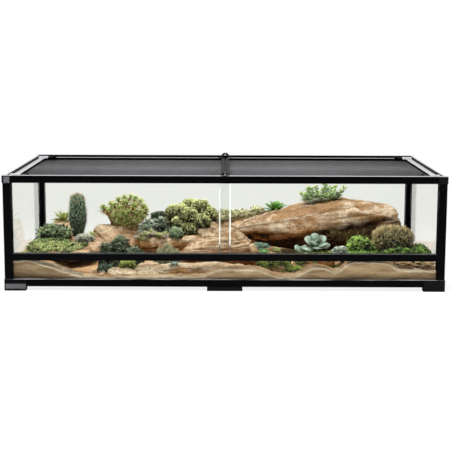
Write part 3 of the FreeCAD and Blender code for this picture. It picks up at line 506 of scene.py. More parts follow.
def ground_tree(pieces):
    """Search tree over the stones and the sand that are in view."""
    points, faces = [], []
    for piece in pieces:
        base = len(points)
        points += [v.co.copy() for v in piece.data.vertices]
        faces += [tuple(base + i for i in polygon.vertices) for polygon in piece.data.polygons]
    return BVHTree.FromPolygons(points, faces)


def cast_down(x, y):
    """Point of the land straight below a place under the lids, and the way that the land faces there."""
    spot, normal = GROUND.ray_cast(Vector((x, y, ROOM_HIGH[2])), DOWN)[:2]
    return np.array(spot), np.array(normal)


def room_place(x, y):
    """Place from shares of the living space, -1 to 1 from wall to wall."""
    return ((ROOM_LOW + ROOM_HIGH) / 2 + np.array([x, y, 0.0]) * (ROOM_HIGH - ROOM_LOW) / 2)[:2]


def land_point(x, y):
    """Point on the land from shares of the living space."""
    return cast_down(*room_place(x, y))[0]


def land_box(x, y, half_x, half_y, tall):
    """Box for a low plant that stands on the land at a spot."""
    half = np.array([half_x, half_y, 0.0]) * (ROOM_HIGH - ROOM_LOW) / 2
    foot = land_point(x, y) - UP * 4 * MM
    return foot - half, foot + half + UP * tall


class Dome:
    """Rounded form that fills a box, swollen into clumps: the outer surface of a plant."""

    def __init__(self, box, below, clump, relief, seed):
        low, high = box
        self.below, self.clump, self.relief = below, clump, relief
        self.shift = Vector((seed, 3.1, 7.7))
        self.floor = low[2]
        middle = low[2] - (high[2] - low[2]) * below / (1 - below)
        self.centre = np.array([(low[0] + high[0]) / 2, (low[1] + high[1]) / 2, middle])
        self.reach = np.array([(high[0] - low[0]) / 2, (high[1] - low[1]) / 2, high[2] - middle])

    def swell(self, ball):
        """How far each point stands out of the gaps between the clumps, from 0 to 1."""
        spots = ball * self.reach / self.clump
        return np.array([1 - min(1.0, 1.2 * noise.voronoi(Vector(p) + self.shift)[0][0]) for p in spots])

    def surface(self, ball, out, shrink=1.0):
        return self.centre + ball * self.reach * (shrink * (1 - self.relief * (1 - out)))[:, None]

    def spread(self, random, count):
        """Even points over the dome, the directions that lead outwards there, and the swell."""
        share = (np.arange(count) + 0.5) / count
        up = 1 - (1 - self.below) * share
        turn = np.arange(count) * GOLDEN
        flat = np.sqrt(np.clip(1 - up ** 2, 0, 1))
        ball = np.stack([flat * np.cos(turn), flat * np.sin(turn), up], -1)
        ball = unit(ball + random.normal(0, 0.6 / math.sqrt(count), ball.shape))
        out = self.swell(ball)
        return self.surface(ball, out), unit(ball / self.reach), out

    def heart(self, growth):
        """Inner body in the deep colour, a painted shade, which closes the gaps between the leaves."""
        way, faces = icosphere(3)
        points = self.surface(way, self.swell(way), 0.86)
        points[:, 2] = np.maximum(points[:, 2], self.floor)
        growth.mesh(points, faces, 0.0, 0.0)


def leafy_dome(growth, box, template, count, size, lean, below, clump, relief, seed):
    """Covers a clumped dome with leaves that lie between outwards and along the surface."""
    random = growth.random
    form = Dome(box, below, clump, relief, seed)
    points, outward, out = form.spread(random, count)
    swirl = unit(np.cross(outward, random.normal(0, 1, outward.shape)))
    along = unit(outward * lean + swirl * (1 - lean) + UP * 0.15 + random.normal(0, 0.2, outward.shape))
    sizes = size * random.uniform(0.7, 1.25, count)
    places = points - along * sizes[:, None] * 0.65
    # Painted light and shade: leaves that stand out of the gaps and face up get a lighter tint
    tints = np.clip(0.1 + 0.5 * out + 0.4 * outward[:, 2] + random.normal(0, 0.2, count), 0, 1)
    facing = outward + UP * 0.3 + random.normal(0, 0.4, outward.shape)
    growth.leaves(template, places, leaf_axes(along, facing), sizes, tints)
    form.heart(growth)


def sprig_dome(growth, box, template, count, leaves, size, below, clump, relief, seed, tone=0.15):
    """Covers a clumped dome with small rosettes of leaves, with painted light on the clumps and tops and
    painted shade in the gaps; tone is how light they are in the gaps.
    """
    random = growth.random
    form = Dome(box, below, clump, relief, seed)
    points, outward, out = form.spread(random, count)
    for spot, away, rise in zip(points, outward, out):
        pole = unit(away + UP * 0.35 + random.normal(0, 0.2, 3))
        tint = np.clip(tone + 0.45 * rise + 0.35 * away[2] + random.normal(0, 0.15), 0, 1)
        length = size * random.uniform(0.8, 1.2)
        foot = spot - pole * length * 0.5
        growth.rosette(template, foot, pole, leaves, length, low=5, high=80, shrink=0.55, tint=tint)
    form.heart(growth)


def carpet(name, patches, template, paint, seed, leaves, size, rise, nodes=(), tone=0.25):
    """Mat of sprigs on the land under oval patches of (x, y, half x, half y, count) in room shares. Raised
    sprigs get painted light and low ones painted shade; tone is how light the low ones are.
    """
    plant = Growth(seed)
    random = plant.random
    for x, y, half_x, half_y, count in patches:
        for _ in range(count):
            turn = random.uniform(0, 2 * math.pi)
            out = math.sqrt(random.uniform(0, 1)) * random.uniform(0.8, 1.1)
            place = room_place(x + half_x * out * math.cos(turn), y + half_y * out * math.sin(turn))
            spot, normal = cast_down(*place)
            lift = random.uniform(0, 1)
            pole = unit(normal * 0.5 + UP * 0.6 + random.normal(0, 0.3, 3))
            foot = spot + UP * (rise * lift * max(0.0, 1 - out * out) - 1.5 * MM)
            tint = np.clip(tone + 0.45 * lift + random.normal(0, 0.18), 0, 1)
            length = size * random.uniform(0.7, 1.25)
            plant.rosette(template, foot, pole, leaves, length, low=5, high=78, shrink=0.6, tint=tint)
    plant.build(name, PAINT[paint], nodes=nodes)


# Rocks and sand

# Lengths of the stones' forms in millimetres
WARP_LENGTH = 110
WARP_HEIGHT = 9
THICK_BED_RUN = 200
THIN_BED_RUN = 90
JOINT_RUN_X = 150
JOINT_RUN_Y = 120
SWELL_LENGTH = 55
GRIT_LENGTH = 14
FOOT_SHADE_DEPTH = 16

# How sharply a joint ends on both sides of its line
JOINT_SHARPNESS = 14


def read_points(mesh, key):
    values = np.empty(len(mesh.vertices) * 3)
    mesh.vertices.foreach_get(key, values)
    return values.reshape(-1, 3)


def weather(stone, seed, tilt, swell=6.0, beds=1.8, joints=3.5, grit=2.2, course=12.0, under=0.9,
            seams=1.0, grooves=(), damp=None, dents=()):
    """Cuts a stone by beds, joints, hollows and grit along its strata, and keeps them as values.

    Course is how thick the beds are, the overhang shade is how much painted shade darkens the overhanging
    faces, and seams the joints.
    Grooves are (level, half width, depth) along the strata, the foot shade is the level from which painted
    shade darkens the stone down to its foot, and dents are (place, radius, depth), all in millimetres;
    grooves and dents get painted shade too.
    """
    mesh = stone.data
    points = read_points(mesh, "co")
    normals = read_points(mesh, "normal")
    strata = Vector(tilt).normalized()
    shift = Vector((seed * 13.7, seed * 5.1, seed * 3.3))
    moved = np.empty_like(points)
    layers, cracks_and_shades, skies = [], [], []
    for i, (spot, normal) in enumerate(zip(points, normals)):
        p = Vector(spot) / MM
        warp = noise.noise(p / WARP_LENGTH + shift)
        height = p.dot(strata) + WARP_HEIGHT * warp
        thick = noise.noise(Vector((height / course, seed, p.x / THICK_BED_RUN)))
        thin = noise.noise(Vector((height * 3 / course, seed + 9, p.x / THIN_BED_RUN)))
        facing = abs(Vector(normal).dot(strata))
        side = 1 - facing
        slope = math.sqrt(max(0.0, 1 - facing * facing))
        block = Vector((p.x / JOINT_RUN_X, p.y / JOINT_RUN_Y, height / course / 2))
        line = abs(noise.noise(block + shift * 0.7))
        crack_and_shade = seams * max(0.0, 1 - line * JOINT_SHARPNESS) * (0.3 + 0.7 * slope)
        push = swell * noise.noise(p / SWELL_LENGTH - shift)
        push += beds * (thick + 0.35 * thin) * (0.2 + 0.8 * slope)
        push += grit * noise.fractal(p / GRIT_LENGTH + shift, 0.8, 2.1, 5) - joints * crack_and_shade
        for level, half, depth in grooves:
            hollow = math.exp(-((height - level) / half) ** 2) * side
            push -= depth * hollow
            # Painted shade in the groove
            crack_and_shade += 0.8 * hollow ** 3
        for place, radius, depth in dents:
            away = (p - Vector(place)).length / radius
            hollow = math.exp(-away * away)
            push -= depth * hollow
            # Painted shade in the dent
            crack_and_shade += 0.75 * hollow
        # Painted shade that darkens the stone from a level down towards its foot
        if damp:
            crack_and_shade += max(0.0, min(1.0, (damp - height) / FOOT_SHADE_DEPTH)) * (0.95 - 0.5 * max(0.0, normal[2]))
        moved[i] = spot + normal * push * MM
        layers.append(0.5 + 0.45 * thick + 0.35 * thin)
        # Painted shade on the overhanging faces
        crack_and_shade += under * max(0.0, -normal[2] - 0.15)
        cracks_and_shades.append(min(1.0, crack_and_shade * 0.85 + max(0.0, -thick - 0.25) * slope))
        # Faces that look up get the paler colours, as painted light
        skies.append(0.5 + 0.5 * normal[2])
    mesh.vertices.foreach_set("co", moved.ravel())
    mesh.update()
    keep_values(mesh, layer=layers, joint=cracks_and_shades, sky=skies)


def node_stone(node, material, seed, tilt, voxel=4.0, rounding=6, **relief):
    """Rock made from its CAD solid: remeshed, worn round, then weathered."""
    stone = bpy.data.objects.new(node + "_stone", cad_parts[node].data.copy())
    SCENE.collection.objects.link(stone)
    stone.modifiers.new("weld", "WELD").merge_threshold = 0.02 * MM
    remesh = stone.modifiers.new("voxels", "REMESH")
    remesh.mode = "VOXEL"
    remesh.voxel_size = voxel * MM
    wear = stone.modifiers.new("wear", "SMOOTH")
    wear.factor = 0.5
    wear.iterations = rounding
    worn = bpy.data.meshes.new_from_object(stone.evaluated_get(bpy.context.evaluated_depsgraph_get()))
    stone.modifiers.clear()
    stone.data = worn
    weather(stone, seed, tilt, **relief)
    return finish_piece(stone, material, nodes=[node])


def lying_stone(name, material, low, high, seed, tilt, **relief):
    """Rounded stone that fills a box, with its foot in the sand."""
    way, faces = icosphere(6)
    square = np.sign(way) * np.abs(way) ** 0.75
    low, high = np.array(low) * MM, np.array(high) * MM
    stone = new_object(name, (low + high) / 2 + square * (high - low) / 2, faces)
    weather(stone, seed, tilt, **relief)
    return finish_piece(stone, material)


def chips(name, material, places, sizes, seed, flat):
    """Broken stones or bark: rough lumps, lying where they fell."""
    random = np.random.default_rng(seed)
    form, sides = icosphere(2)
    points, faces = [], []
    for number, (place, size) in enumerate(zip(places, sizes)):
        shift = Vector((number * 1.7, seed, 2.3))
        rough = np.array([1 + 0.55 * noise.fractal(Vector(p) * 1.6 + shift, 0.8, 2.0, 3) for p in form])
        turn = random.uniform(0, 2 * math.pi)
        x, y = math.cos(turn), math.sin(turn)
        axes = np.array([[x, y, 0], [-y, x, 0], [0, 0, 1]])
        lump = form * rough[:, None] * np.asarray(size) * np.array([1, random.uniform(0.55, 0.9), flat])
        base = len(points) * len(form)
        points.append(lump @ axes + place)
        faces += [tuple(base + i for i in side) for side in sides]
    stone = new_object(name, np.clip(np.concatenate(points), ROOM_LOW, ROOM_HIGH), faces)
    weather(stone, seed * 0.31, (0.1, 0.1, 1.0), swell=0.5, beds=0.6, joints=0.6, grit=0.9)
    finish_piece(stone, material)


class SandField:
    """Height field over the CAD sand: crisp along the front glass, soft and drifted behind it."""

    def __init__(self):
        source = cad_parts["sand_bed"].data
        tree = BVHTree.FromPolygons([v.co for v in source.vertices], [p.vertices for p in source.polygons])
        self.low, self.high = node_box("sand_bed")
        columns, rows = 440, 110
        self.xs = np.linspace(self.low[0], self.high[0], columns)
        self.ys = self.low[1] + (self.high[1] - self.low[1]) * np.linspace(0, 1, rows) ** 1.5
        self.level = np.array([[self.probe(tree, x, y) for y in self.ys] for x in self.xs])
        self.settle()

    def probe(self, tree, x, y):
        """Level of the CAD sand away from the corner posts, or a thin cover where the sand isn't met."""
        post, cover = 30 * MM, 8 * MM
        x = min(max(x, self.low[0] + post), self.high[0] - post)
        y = min(max(y, self.low[1] + MM), self.high[1] - post)
        hit = tree.ray_cast(Vector((x, y, 1)), DOWN)[0]
        return hit.z if hit else self.low[2] + cover

    def settle(self):
        """Evens the sand out from side to side, softens it behind the glass and lays drifts on it."""
        level_passes, soft_passes = 14, 9
        crisp_depth, heap_depth, least = 14 * MM, 9 * MM, 3 * MM
        for _ in range(level_passes):
            padded = np.pad(self.level, ((1, 1), (0, 0)), mode="edge")
            self.level = (padded[:-2] + padded[2:] + 2 * self.level) / 4
        loose = np.clip((self.ys - self.low[1]) / crisp_depth, 0.08, 1)
        for _ in range(soft_passes):
            padded = np.pad(self.level, 1, mode="edge")
            across = padded[:-2, 1:-1] + padded[2:, 1:-1]
            deep = padded[1:-1, :-2] + padded[1:-1, 2:]
            self.level += ((across + deep + 2 * self.level) / 6 - self.level) * loose
        for i, x in enumerate(self.xs):
            for j, y in enumerate(self.ys):
                p = Vector((x, y, 0)) / MM
                heap = 5.0 * (1 - math.exp((self.ys[0] - y) / heap_depth))
                drift = heap + 3.2 * noise.noise(p / 45) + 2.2 * noise.noise(p / 15)
                drift += 1.2 * noise.fractal(p / 6, 0.8, 2.0, 4)
                self.level[i, j] += drift * MM
        self.level = np.maximum(self.level, self.low[2] + least)

    def height(self, x, y):
        i = int(np.clip(np.searchsorted(self.xs, x), 0, len(self.xs) - 1))
        j = int(np.clip(np.searchsorted(self.ys, y), 0, len(self.ys) - 1))
        return self.level[i, j]

    def build(self, material):
        """Closed mesh of the sand, with how far each point belongs to its rim and to its top."""
        rim_depth, top_depth = 12 * MM, 6 * MM
        across = len(self.xs)
        front = self.low[1]
        floor = self.low[2]

        def line(y, z):
            return np.stack([self.xs, np.full(across, y), np.broadcast_to(z, across)], -1)

        loop = [(line(front, floor), 0.0, 0.0)]
        for drop, rim in ((5.5 * MM, 0.0), (3.0 * MM, 0.3), (1.2 * MM, 0.85)):
            loop.append((line(front, np.maximum(self.level[:, 0] - drop, floor + MM)), rim, 0.0))
        for j, y in enumerate(self.ys):
            rim = math.exp((front - y) / rim_depth)
            loop.append((line(y, self.level[:, j]), rim, min(1.0, 0.4 + (y - front) / top_depth)))
        loop.append((line(self.ys[-1], floor), 0.0, 1.0))
        points = np.concatenate([row for row, _, _ in loop])
        rim = np.repeat([value for _, value, _ in loop], across)
        top = np.repeat([value for _, _, value in loop], across)
        faces = []
        count = len(loop)
        for j in range(count):
            n = (j + 1) % count
            for i in range(across - 1):
                faces.append((j * across + i, j * across + i + 1, n * across + i + 1, n * across + i))
        for i in (0, across - 1):
            end = [j * across + i for j in range(count)]
            faces.append(tuple(end if i == 0 else end[::-1]))
        obj = new_object("sand_surface", points, faces, rim=rim, top=top)
        return finish_piece(obj, material, nodes=["sand_bed"])


# Plants

# Colours deep in the plant, which paint its shade, at a leaf's base and at its tip, as picture values, and
# the leaf's roughness
LEAF_LOOKS = dict(
    column_skin=((9, 13, 5), (24, 42, 24), (132, 168, 132), 0.4),
    column_spines=((36, 42, 24), (124, 130, 104), (240, 236, 216), 0.6),
    column_crown=((150, 108, 64), (190, 146, 92), (222, 190, 142), 0.8),
    barrel_skin=((6, 6, 2), (22, 26, 10), (72, 80, 44), 0.5),
    barrel_spines=((16, 16, 6), (104, 94, 46), (255, 236, 176), 0.6),
    barrel_crown=((150, 112, 54), (222, 184, 112), (255, 232, 176), 0.7),
    clipped=((1, 4, 0), (26, 84, 22), (194, 216, 160), 0.45),
    star=((48, 58, 14), (110, 158, 54), (240, 236, 160), 0.5),
    star_dry=((40, 24, 8), (158, 130, 66), (240, 210, 150), 0.55),
    cushion=((34, 30, 6), (140, 156, 62), (244, 248, 180), 0.6),
    juniper=((8, 16, 10), (40, 62, 44), (112, 130, 102), 0.55),
    blue=((3, 5, 1), (42, 58, 34), (152, 166, 130), 0.5),
    leafy=((70, 96, 34), (140, 186, 100), (222, 240, 170), 0.45),
    leafy_pale=((96, 118, 78), (172, 198, 162), (236, 242, 230), 0.45),
    bright=((0, 2, 0), (38, 86, 8), (208, 246, 124), 0.4),
    glaucous=((18, 26, 8), (92, 112, 88), (168, 186, 168), 0.5),
    agave=((60, 70, 16), (130, 156, 52), (208, 212, 124), 0.45),
    emerald=((12, 34, 3), (40, 104, 24), (150, 204, 104), 0.35),
    teal=((10, 20, 14), (44, 72, 60), (128, 154, 134), 0.45),
    small=((40, 56, 50), (104, 130, 120), (176, 192, 178), 0.5),
    fresh=((14, 38, 12), (58, 116, 48), (140, 190, 112), 0.4),
    shelf=((34, 40, 12), (116, 134, 62), (206, 208, 138), 0.5),
    shelf_mauve=((40, 36, 24), (128, 116, 92), (206, 182, 176), 0.5),
    grass=((44, 42, 20), (118, 116, 78), (192, 190, 150), 0.6),
    sedum=((40, 42, 12), (108, 118, 58), (198, 204, 136), 0.5),
    sedum_shade=((18, 26, 6), (64, 92, 40), (142, 166, 96), 0.5),
    sage=((44, 50, 28), (130, 140, 108), (236, 238, 220), 0.6),
    heather=((170, 158, 112), (206, 206, 146), (246, 246, 204), 0.6),
    moss=((20, 24, 6), (76, 94, 32), (156, 174, 84), 0.55),
    green_moss=((3, 6, 1), (28, 52, 11), (142, 184, 80), 0.5),
    teal_mat=((18, 28, 14), (126, 150, 116), (214, 226, 200), 0.5),
    ball=((24, 42, 16), (88, 128, 80), (190, 214, 168), 0.5),
    dark_mat=((8, 16, 10), (44, 64, 48), (146, 168, 140), 0.5),
    yellow_mat=((34, 40, 10), (100, 118, 46), (194, 202, 112), 0.5),
    grey_mat=((62, 74, 60), (144, 160, 142), (216, 226, 212), 0.6),
    lemon=((60, 62, 20), (142, 152, 74), (214, 218, 150), 0.5),
    dry_grass=((30, 22, 8), (92, 76, 38), (168, 146, 92), 0.7),
)
PAINT = {name: leaf_paint(name, *look) for name, look in LEAF_LOOKS.items()}


def wart_height(angle, rise, ribs, rows):
    """Height of a cactus's skin, from 0 in the gaps to 1 on warts that stand in uneven crossing spirals."""
    spot = Vector((2.6 * math.cos(angle), 2.6 * math.sin(angle), 11 * rise))
    angle += 0.3 * noise.noise(spot)
    rise += 0.035 * noise.noise(spot + Vector((5, 3, 1)))
    warts = 0.5 + 0.5 * math.cos(ribs * angle) * math.cos(2 * math.pi * rows * rise)
    return max(0.0, min(1.0, warts + 0.35 * noise.noise(spot * 2.3)))


def radius_at(profile, rise):
    return np.interp(rise, [p[0] for p in profile], [p[1] for p in profile])


def cactus_body(growth, box, profile, ribs, rows, depth):
    """Body through a profile of (share of height, share of radius), covered with warts of a depth."""
    low, high = box
    centre = (low + high) / 2
    radius = (high - low) / 2
    rings, around = 8 * rows, 8 * ribs
    points, along, tint = [], [], []
    for ring in range(rings):
        rise = ring / (rings - 1)
        for k in range(around):
            angle = 2 * math.pi * k / around
            bump = wart_height(angle, rise, ribs, rows)
            reach = radius_at(profile, rise) * (1 - depth + depth * bump)
            x = centre[0] + radius[0] * reach * math.cos(angle)
            y = centre[1] + radius[1] * reach * math.sin(angle)
            points.append((x, y, low[2] + rise * (high[2] - low[2])))
            along.append(bump)
            # Painted shade: the gaps between the warts take the deep colour; the warts and the upper part are
            # lighter
            tint.append(bump * (0.3 + 0.5 * rise) + 0.12 * rise)
    growth.mesh(points, tube_faces(rings, around), np.array(along), np.array(tint))


def cactus_spines(growth, box, profile, ribs, rows, bunch, length, splay, lean=0.0):
    """Bunches of spines on the warts, with each second row shifted by half a rib.

    Lean is how much paler the spines are on the left and darker on the right, as painted light from the left;
    they are also paler higher up.
    """
    low, high = box
    centre = (low + high) / 2
    radius = (high - low) / 2
    random = growth.random
    places, ways, tints = [], [], []
    for level in range(1, rows):
        for k in range(ribs):
            rise = (level + random.normal(0, 0.25)) / rows
            size = radius_at(profile, rise)
            slope = radius_at(profile, rise + 0.04) - size
            angle = 2 * math.pi * (k + 0.5 * (level % 2) + random.normal(0, 0.2)) / ribs
            flat = np.array([math.cos(angle), math.sin(angle)])
            spot = [*(centre[:2] + radius[:2] * size * flat), low[2] + rise * (high[2] - low[2])]
            out = np.array([flat[0], flat[1], max(0.1, -slope * 16)])
            for _ in range(bunch):
                places.append(spot)
                ways.append(unit(out) + random.normal(0, splay, 3))
                tints.append(np.clip(1.05 * rise - 0.02 - lean * flat[0] + random.normal(0, 0.25), 0, 1))
    ways = unit(np.array(ways))
    axes = leaf_axes(ways, np.broadcast_to(UP, ways.shape) + 0.01)
    sizes = length * random.uniform(0.6, 1.2, len(ways))
    growth.leaves(SPINE, np.array(places), axes, sizes, np.array(tints))


def cactus_crown(growth, box, profile, count, reach, sizes):
    """Fine spines that stand round the upper part of a cactus."""
    random = growth.random
    low, high = box
    turn = random.uniform(0, 2 * math.pi, count)
    rise = 1 - reach * random.uniform(0, 1, count) ** 1.4
    flat = np.stack([np.cos(turn), np.sin(turn), np.zeros(count)], -1)
    half = (high - low) / 2
    spots = (low + high) / 2 + flat * half * radius_at(profile, rise)[:, None]
    spots[:, 2] = low[2] + rise * (high[2] - low[2]) - 0.002
    ways = unit(flat * 0.7 + UP * 0.9 + random.normal(0, 0.3, (count, 3)))
    axes = leaf_axes(ways, np.broadcast_to([1.0, 0.2, 0.0], ways.shape))
    growth.leaves(NEEDLE, spots, axes, random.uniform(*sizes, count), random.uniform(0.4, 1, count))


def cactus(kind, profile, seed, body, spines, crown):
    """Body, spines and crown of a cactus, each from its own sizes."""
    node = kind + "_cactus"
    parts = ((cactus_body, body, "_body", "_skin"), (cactus_spines, spines, "_spines", "_spines"),
             (cactus_crown, crown, "_crown", "_crown"))
    for number, (grow, sizes, part, paint) in enumerate(parts):
        plant = Growth(seed + number)
        grow(plant, node_box(node), profile, **sizes)
        plant.build(node + part, PAINT[kind + paint], "cactus", [node] if part == "_body" else ())


COLUMN = [(0, 0.6), (0.12, 0.7), (0.26, 0.9), (0.4, 1.0), (0.56, 0.98), (0.72, 0.91), (0.84, 0.82),
          (0.92, 0.68), (0.97, 0.48), (1, 0.05)]
BARREL = [(0, 0.55), (0.12, 0.78), (0.3, 0.95), (0.5, 1.0), (0.7, 0.93), (0.85, 0.74), (0.95, 0.45), (1, 0.1)]


def clipped_bush():
    plant = Growth(31)
    sprig_dome(plant, node_box("clipped_bush"), VARIEGATED, count=110, leaves=8, size=0.028, below=-0.6,
               clump=0.03, relief=0.34, seed=4.0, tone=0.0)
    plant.build("clipped_bush_leaves", PAINT["clipped"], nodes=["clipped_bush"])


# Heads of the star shrub, as shares of its box from left to right, front to back and foot to top
STAR_HEADS = [
    (0.02, 0.4, 0.56), (0.3, 0.25, 0.68), (0.38, 0.6, 0.84), (0.67, 0.5, 0.95), (0.9, 0.5, 0.78),
    (1.0, 0.35, 0.62), (0.65, 0.05, 0.46), (0.82, 0.1, 0.36), (0.44, 0.15, 0.6), (0.55, 0.3, 0.76),
    (0.77, 0.2, 0.64), (0.19, 0.2, 0.5), (0.5, 0.0, 0.42), (0.92, 0.1, 0.46), (0.33, 0.05, 0.4),
    (1.04, 0.5, 0.46), (0.2, 0.5, 0.7), (0.56, 0.1, 0.3), (0.25, 0.85, 0.62), (0.5, 0.9, 0.75),
    (0.75, 0.9, 0.72), (0.98, 0.8, 0.52), (0.6, 0.95, 0.5), (0.35, 0.95, 0.5), (0.08, 0.75, 0.48),
    (0.7, 0.05, 0.2), (0.42, 0.05, 0.22), (0.92, 0.3, 0.24), (0.78, 0.6, 0.88), (0.52, 0.6, 0.9),
    (0.98, 0.2, 0.24), (0.86, 0.0, 0.14), (0.74, 0.0, 0.05), (0.56, 0.0, 0.08), (0.38, 0.0, 0.12),
    (0.28, 0.1, 0.26), (1.02, 0.7, 0.3), (0.82, 0.95, 0.22), (0.52, 1.0, 0.22), (0.3, 0.9, 0.3),
]


def star_shrub():
    """Heads of narrow leaves on bare stems, green above and dry below."""
    box = node_box("star_shrub")
    low, high = box
    plant, dry, wood = Growth(41), Growth(43), Growth(42)
    random = plant.random
    inset = np.array([0.002, 0.006, 0.004])
    foot = inside(box, (0.3, 0.5, -0.06))
    middle = inside(box, (0.5, 0.5, 0.2))
    for share in STAR_HEADS:
        spot = low + inset + (high - low - 2 * inset) * np.array(share)
        out = unit(spot - middle)
        size = random.uniform(0.018, 0.023)
        pole = unit(out * 0.5 + UP * 0.7 + np.array([0, -0.3, 0]) + random.normal(0, 0.12, 3))
        # The tint rises with the head's height: painted shade on the low heads, painted light on the high
        # ones
        fresh = 0.3 + 0.75 * share[2] ** 0.5
        plant.rosette(LANCE, spot, pole, 20, size, low=-5, high=80, shrink=0.65, tint=fresh)
        below = spot - pole * 0.005
        dry.rosette(LANCE, below, pole, 14, size * 0.95, low=-65, high=-8, shrink=0.8, tint=fresh - 0.1)
        bend = foot * 0.4 + spot * 0.6 - UP * 0.008 + random.normal(0, 0.003, 3)
        wood.stem([foot + random.normal(0, 0.004, 3), bend, spot], [0.007, 0.0045, 0.0025])
    skirt = share_box(box, (0.14, 0.2, 0.0), (0.98, 0.85, 0.7))
    leafy_dome(dry, skirt, LANCE, count=460, size=0.02, lean=0.5, below=-0.4, clump=0.02, relief=0.25,
               seed=3.0)
    plant.build("star_shrub_leaves", PAINT["star"], nodes=["star_shrub"])
    dry.build("star_shrub_old_leaves", PAINT["star_dry"])
    wood.build("star_shrub_wood", bark_paint("star_bark", (74, 48, 26), (152, 112, 70)))


# Lumps of the cushion shrub: shares of its box, and the radius as a share of its width
CUSHION_LUMPS = [
    (0.78, 0.5, 0.8, 0.26), (0.52, 0.7, 0.84, 0.22), (0.16, 0.5, 0.68, 0.22), (0.34, 0.3, 0.74, 0.2),
    (0.5, 0.2, 0.58, 0.27), (0.96, 0.4, 0.6, 0.24), (0.8, 0.15, 0.42, 0.24), (0.3, 0.2, 0.4, 0.2),
    (0.52, 0.05, 0.22, 0.22), (0.14, 0.7, 0.44, 0.2), (0.5, 0.9, 0.55, 0.3), (0.85, 0.85, 0.5, 0.24),
    (0.5, 0.5, 0.5, 0.34),
]


def cushion_shrub():
    """Rounded lumps of fine leaves, light on top and dark between."""
    box = node_box("cushion_shrub")
    plant = Growth(51)
    for x, y, z, wide in CUSHION_LUMPS:
        spot = inside(box, (x, y, z))
        radius = wide * (box[1] - box[0])[0]
        half = np.array([radius, radius, radius * 0.75])
        leafy_dome(plant, (spot - half, spot + half), SPATULA, count=460, size=0.011, lean=0.75, below=-0.7,
                   clump=0.013, relief=0.2, seed=plant.random.uniform(0, 50))
    plant.build("cushion_shrub_leaves", PAINT["cushion"], nodes=["cushion_shrub"])


def juniper():
    plant = Growth(61)
    sprig_dome(plant, node_box("juniper"), SPATULA, count=90, leaves=11, size=0.015, below=-0.2, clump=0.024,
               relief=0.34, seed=1.0)
    plant.build("juniper_needles", PAINT["juniper"], nodes=["juniper"])


def blue_bush():
    """Four bluish humps, the front ones reaching down to the sand."""
    plant = Growth(71)
    for low_share, high_share, count, size, below, seed in (
            ((0.0, 0.2, 0.3), (0.68, 1.0, 1.0), 90, 0.021, -0.5, 9.0),
            ((0.42, 0.1, 0.1), (1.14, 0.8, 0.76), 75, 0.021, -0.6, 5.0),
            ((-0.14, 0.0, 0.0), (0.5, 0.6, 0.66), 65, 0.021, -0.6, 2.0),
            ((-0.36, -0.1, 0.0), (0.2, 0.6, 0.86), 50, 0.02, -0.6, 6.0)):
        hump = share_box(node_box("blue_bush"), low_share, high_share)
        sprig_dome(plant, hump, OVAL, count, 10, size, below, clump=0.03, relief=0.38, seed=seed, tone=0.0)
    plant.build("blue_bush_leaves", PAINT["blue"], nodes=["blue_bush"])


def leafy_shrub():
    """Thin stems with pairs of oval leaves, green and pale ones mixed."""
    low, high = node_box("leafy_shrub")
    green, pale, wood = Growth(81), Growth(83), Growth(82)
    random = green.random
    stems, steps = 26, 7
    for number in range(stems):
        share = (number + 0.5) / stems
        x = low[0] + (high[0] - low[0]) * (0.14 + 0.72 * share)
        y = low[1] + (high[1] - low[1]) * random.uniform(0.25, 0.7)
        root = np.array([x, y, low[2] + 0.004 + 0.012 * share])
        lean = np.array([(share - 0.5) * 1.0, random.uniform(-0.8, 0.3), 1.0]) + random.normal(0, 0.16, 3)
        tip = root + unit(lean) * (high[2] - low[2]) * random.uniform(0.4, 0.95)
        bend = (root + tip) / 2 + random.normal(0, 0.004, 3)
        wood.stem([root, bend, tip], [0.0012, 0.001, 0.0006], 5)
        for k in range(steps):
            t = 0.2 + 0.8 * k / (steps - 1)
            spot = root * (1 - t) + tip * t
            turn = k * 2.4 + number
            flat = np.array([[math.cos(turn), math.sin(turn), 0.3], [-math.cos(turn), -math.sin(turn), 0.35]])
            size = 0.023 * (1 - 0.45 * t) * random.uniform(0.8, 1.2, 2)
            axes = leaf_axes(unit(flat), np.broadcast_to(UP, flat.shape))
            plant = pale if random.uniform() > 0.35 + 0.4 * t else green
            plant.leaves(OVAL, np.array([spot, spot]), axes, size, random.uniform(0.45, 1.0, 2))
        green.rosette(OVAL, tip, lean, 6, 0.014, low=35, high=80, shrink=0.7, tint=0.9)
    green.build("leafy_shrub_leaves", PAINT["leafy"], nodes=["leafy_shrub"])
    pale.build("leafy_shrub_pale_leaves", PAINT["leafy_pale"])
    wood.build("leafy_shrub_stems", bark_paint("leafy_stems", (86, 96, 52), (132, 132, 80)))


def bright_bush():
    plant = Growth(91)
    box = share_box(node_box("bright_bush"), (-0.04, 0.0, 0.0), (1.08, 1.0, 1.0))
    sprig_dome(plant, box, OVAL, count=130, leaves=9, size=0.018, below=-0.4, clump=0.028, relief=0.4,
               seed=12.0, tone=0.03)
    plant.build("bright_bush_leaves", PAINT["bright"], nodes=["bright_bush"])


def glaucous_succulent():
    """Two open rosettes of a few broad leaves that face the front, the smaller one lower at the left."""
    box = node_box("glaucous_succulent")
    plant = Growth(104)
    pole = np.array([0.1, -0.42, 1.0])
    for share, length, count in (((0.58, 0.45, 0.4), 0.043, 11), ((0.2, 0.25, 0.08), 0.032, 8)):
        spot = inside(box, share)
        heart = spot + UP * 0.006
        plant.rosette(PADDLE, spot, pole, count, length, low=-12, high=40, shrink=0.85, tint=0.75)
        plant.rosette(PADDLE, heart, pole, 5, length * 0.55, low=40, high=74, shrink=0.6, tint=0.6)
        plant.stem([spot - UP * (spot[2] - box[0][2] + 0.004), spot - UP * 0.003], [0.01, 0.007], 8)
    plant.build("glaucous_succulent_leaves", PAINT["glaucous"], nodes=["glaucous_succulent"])


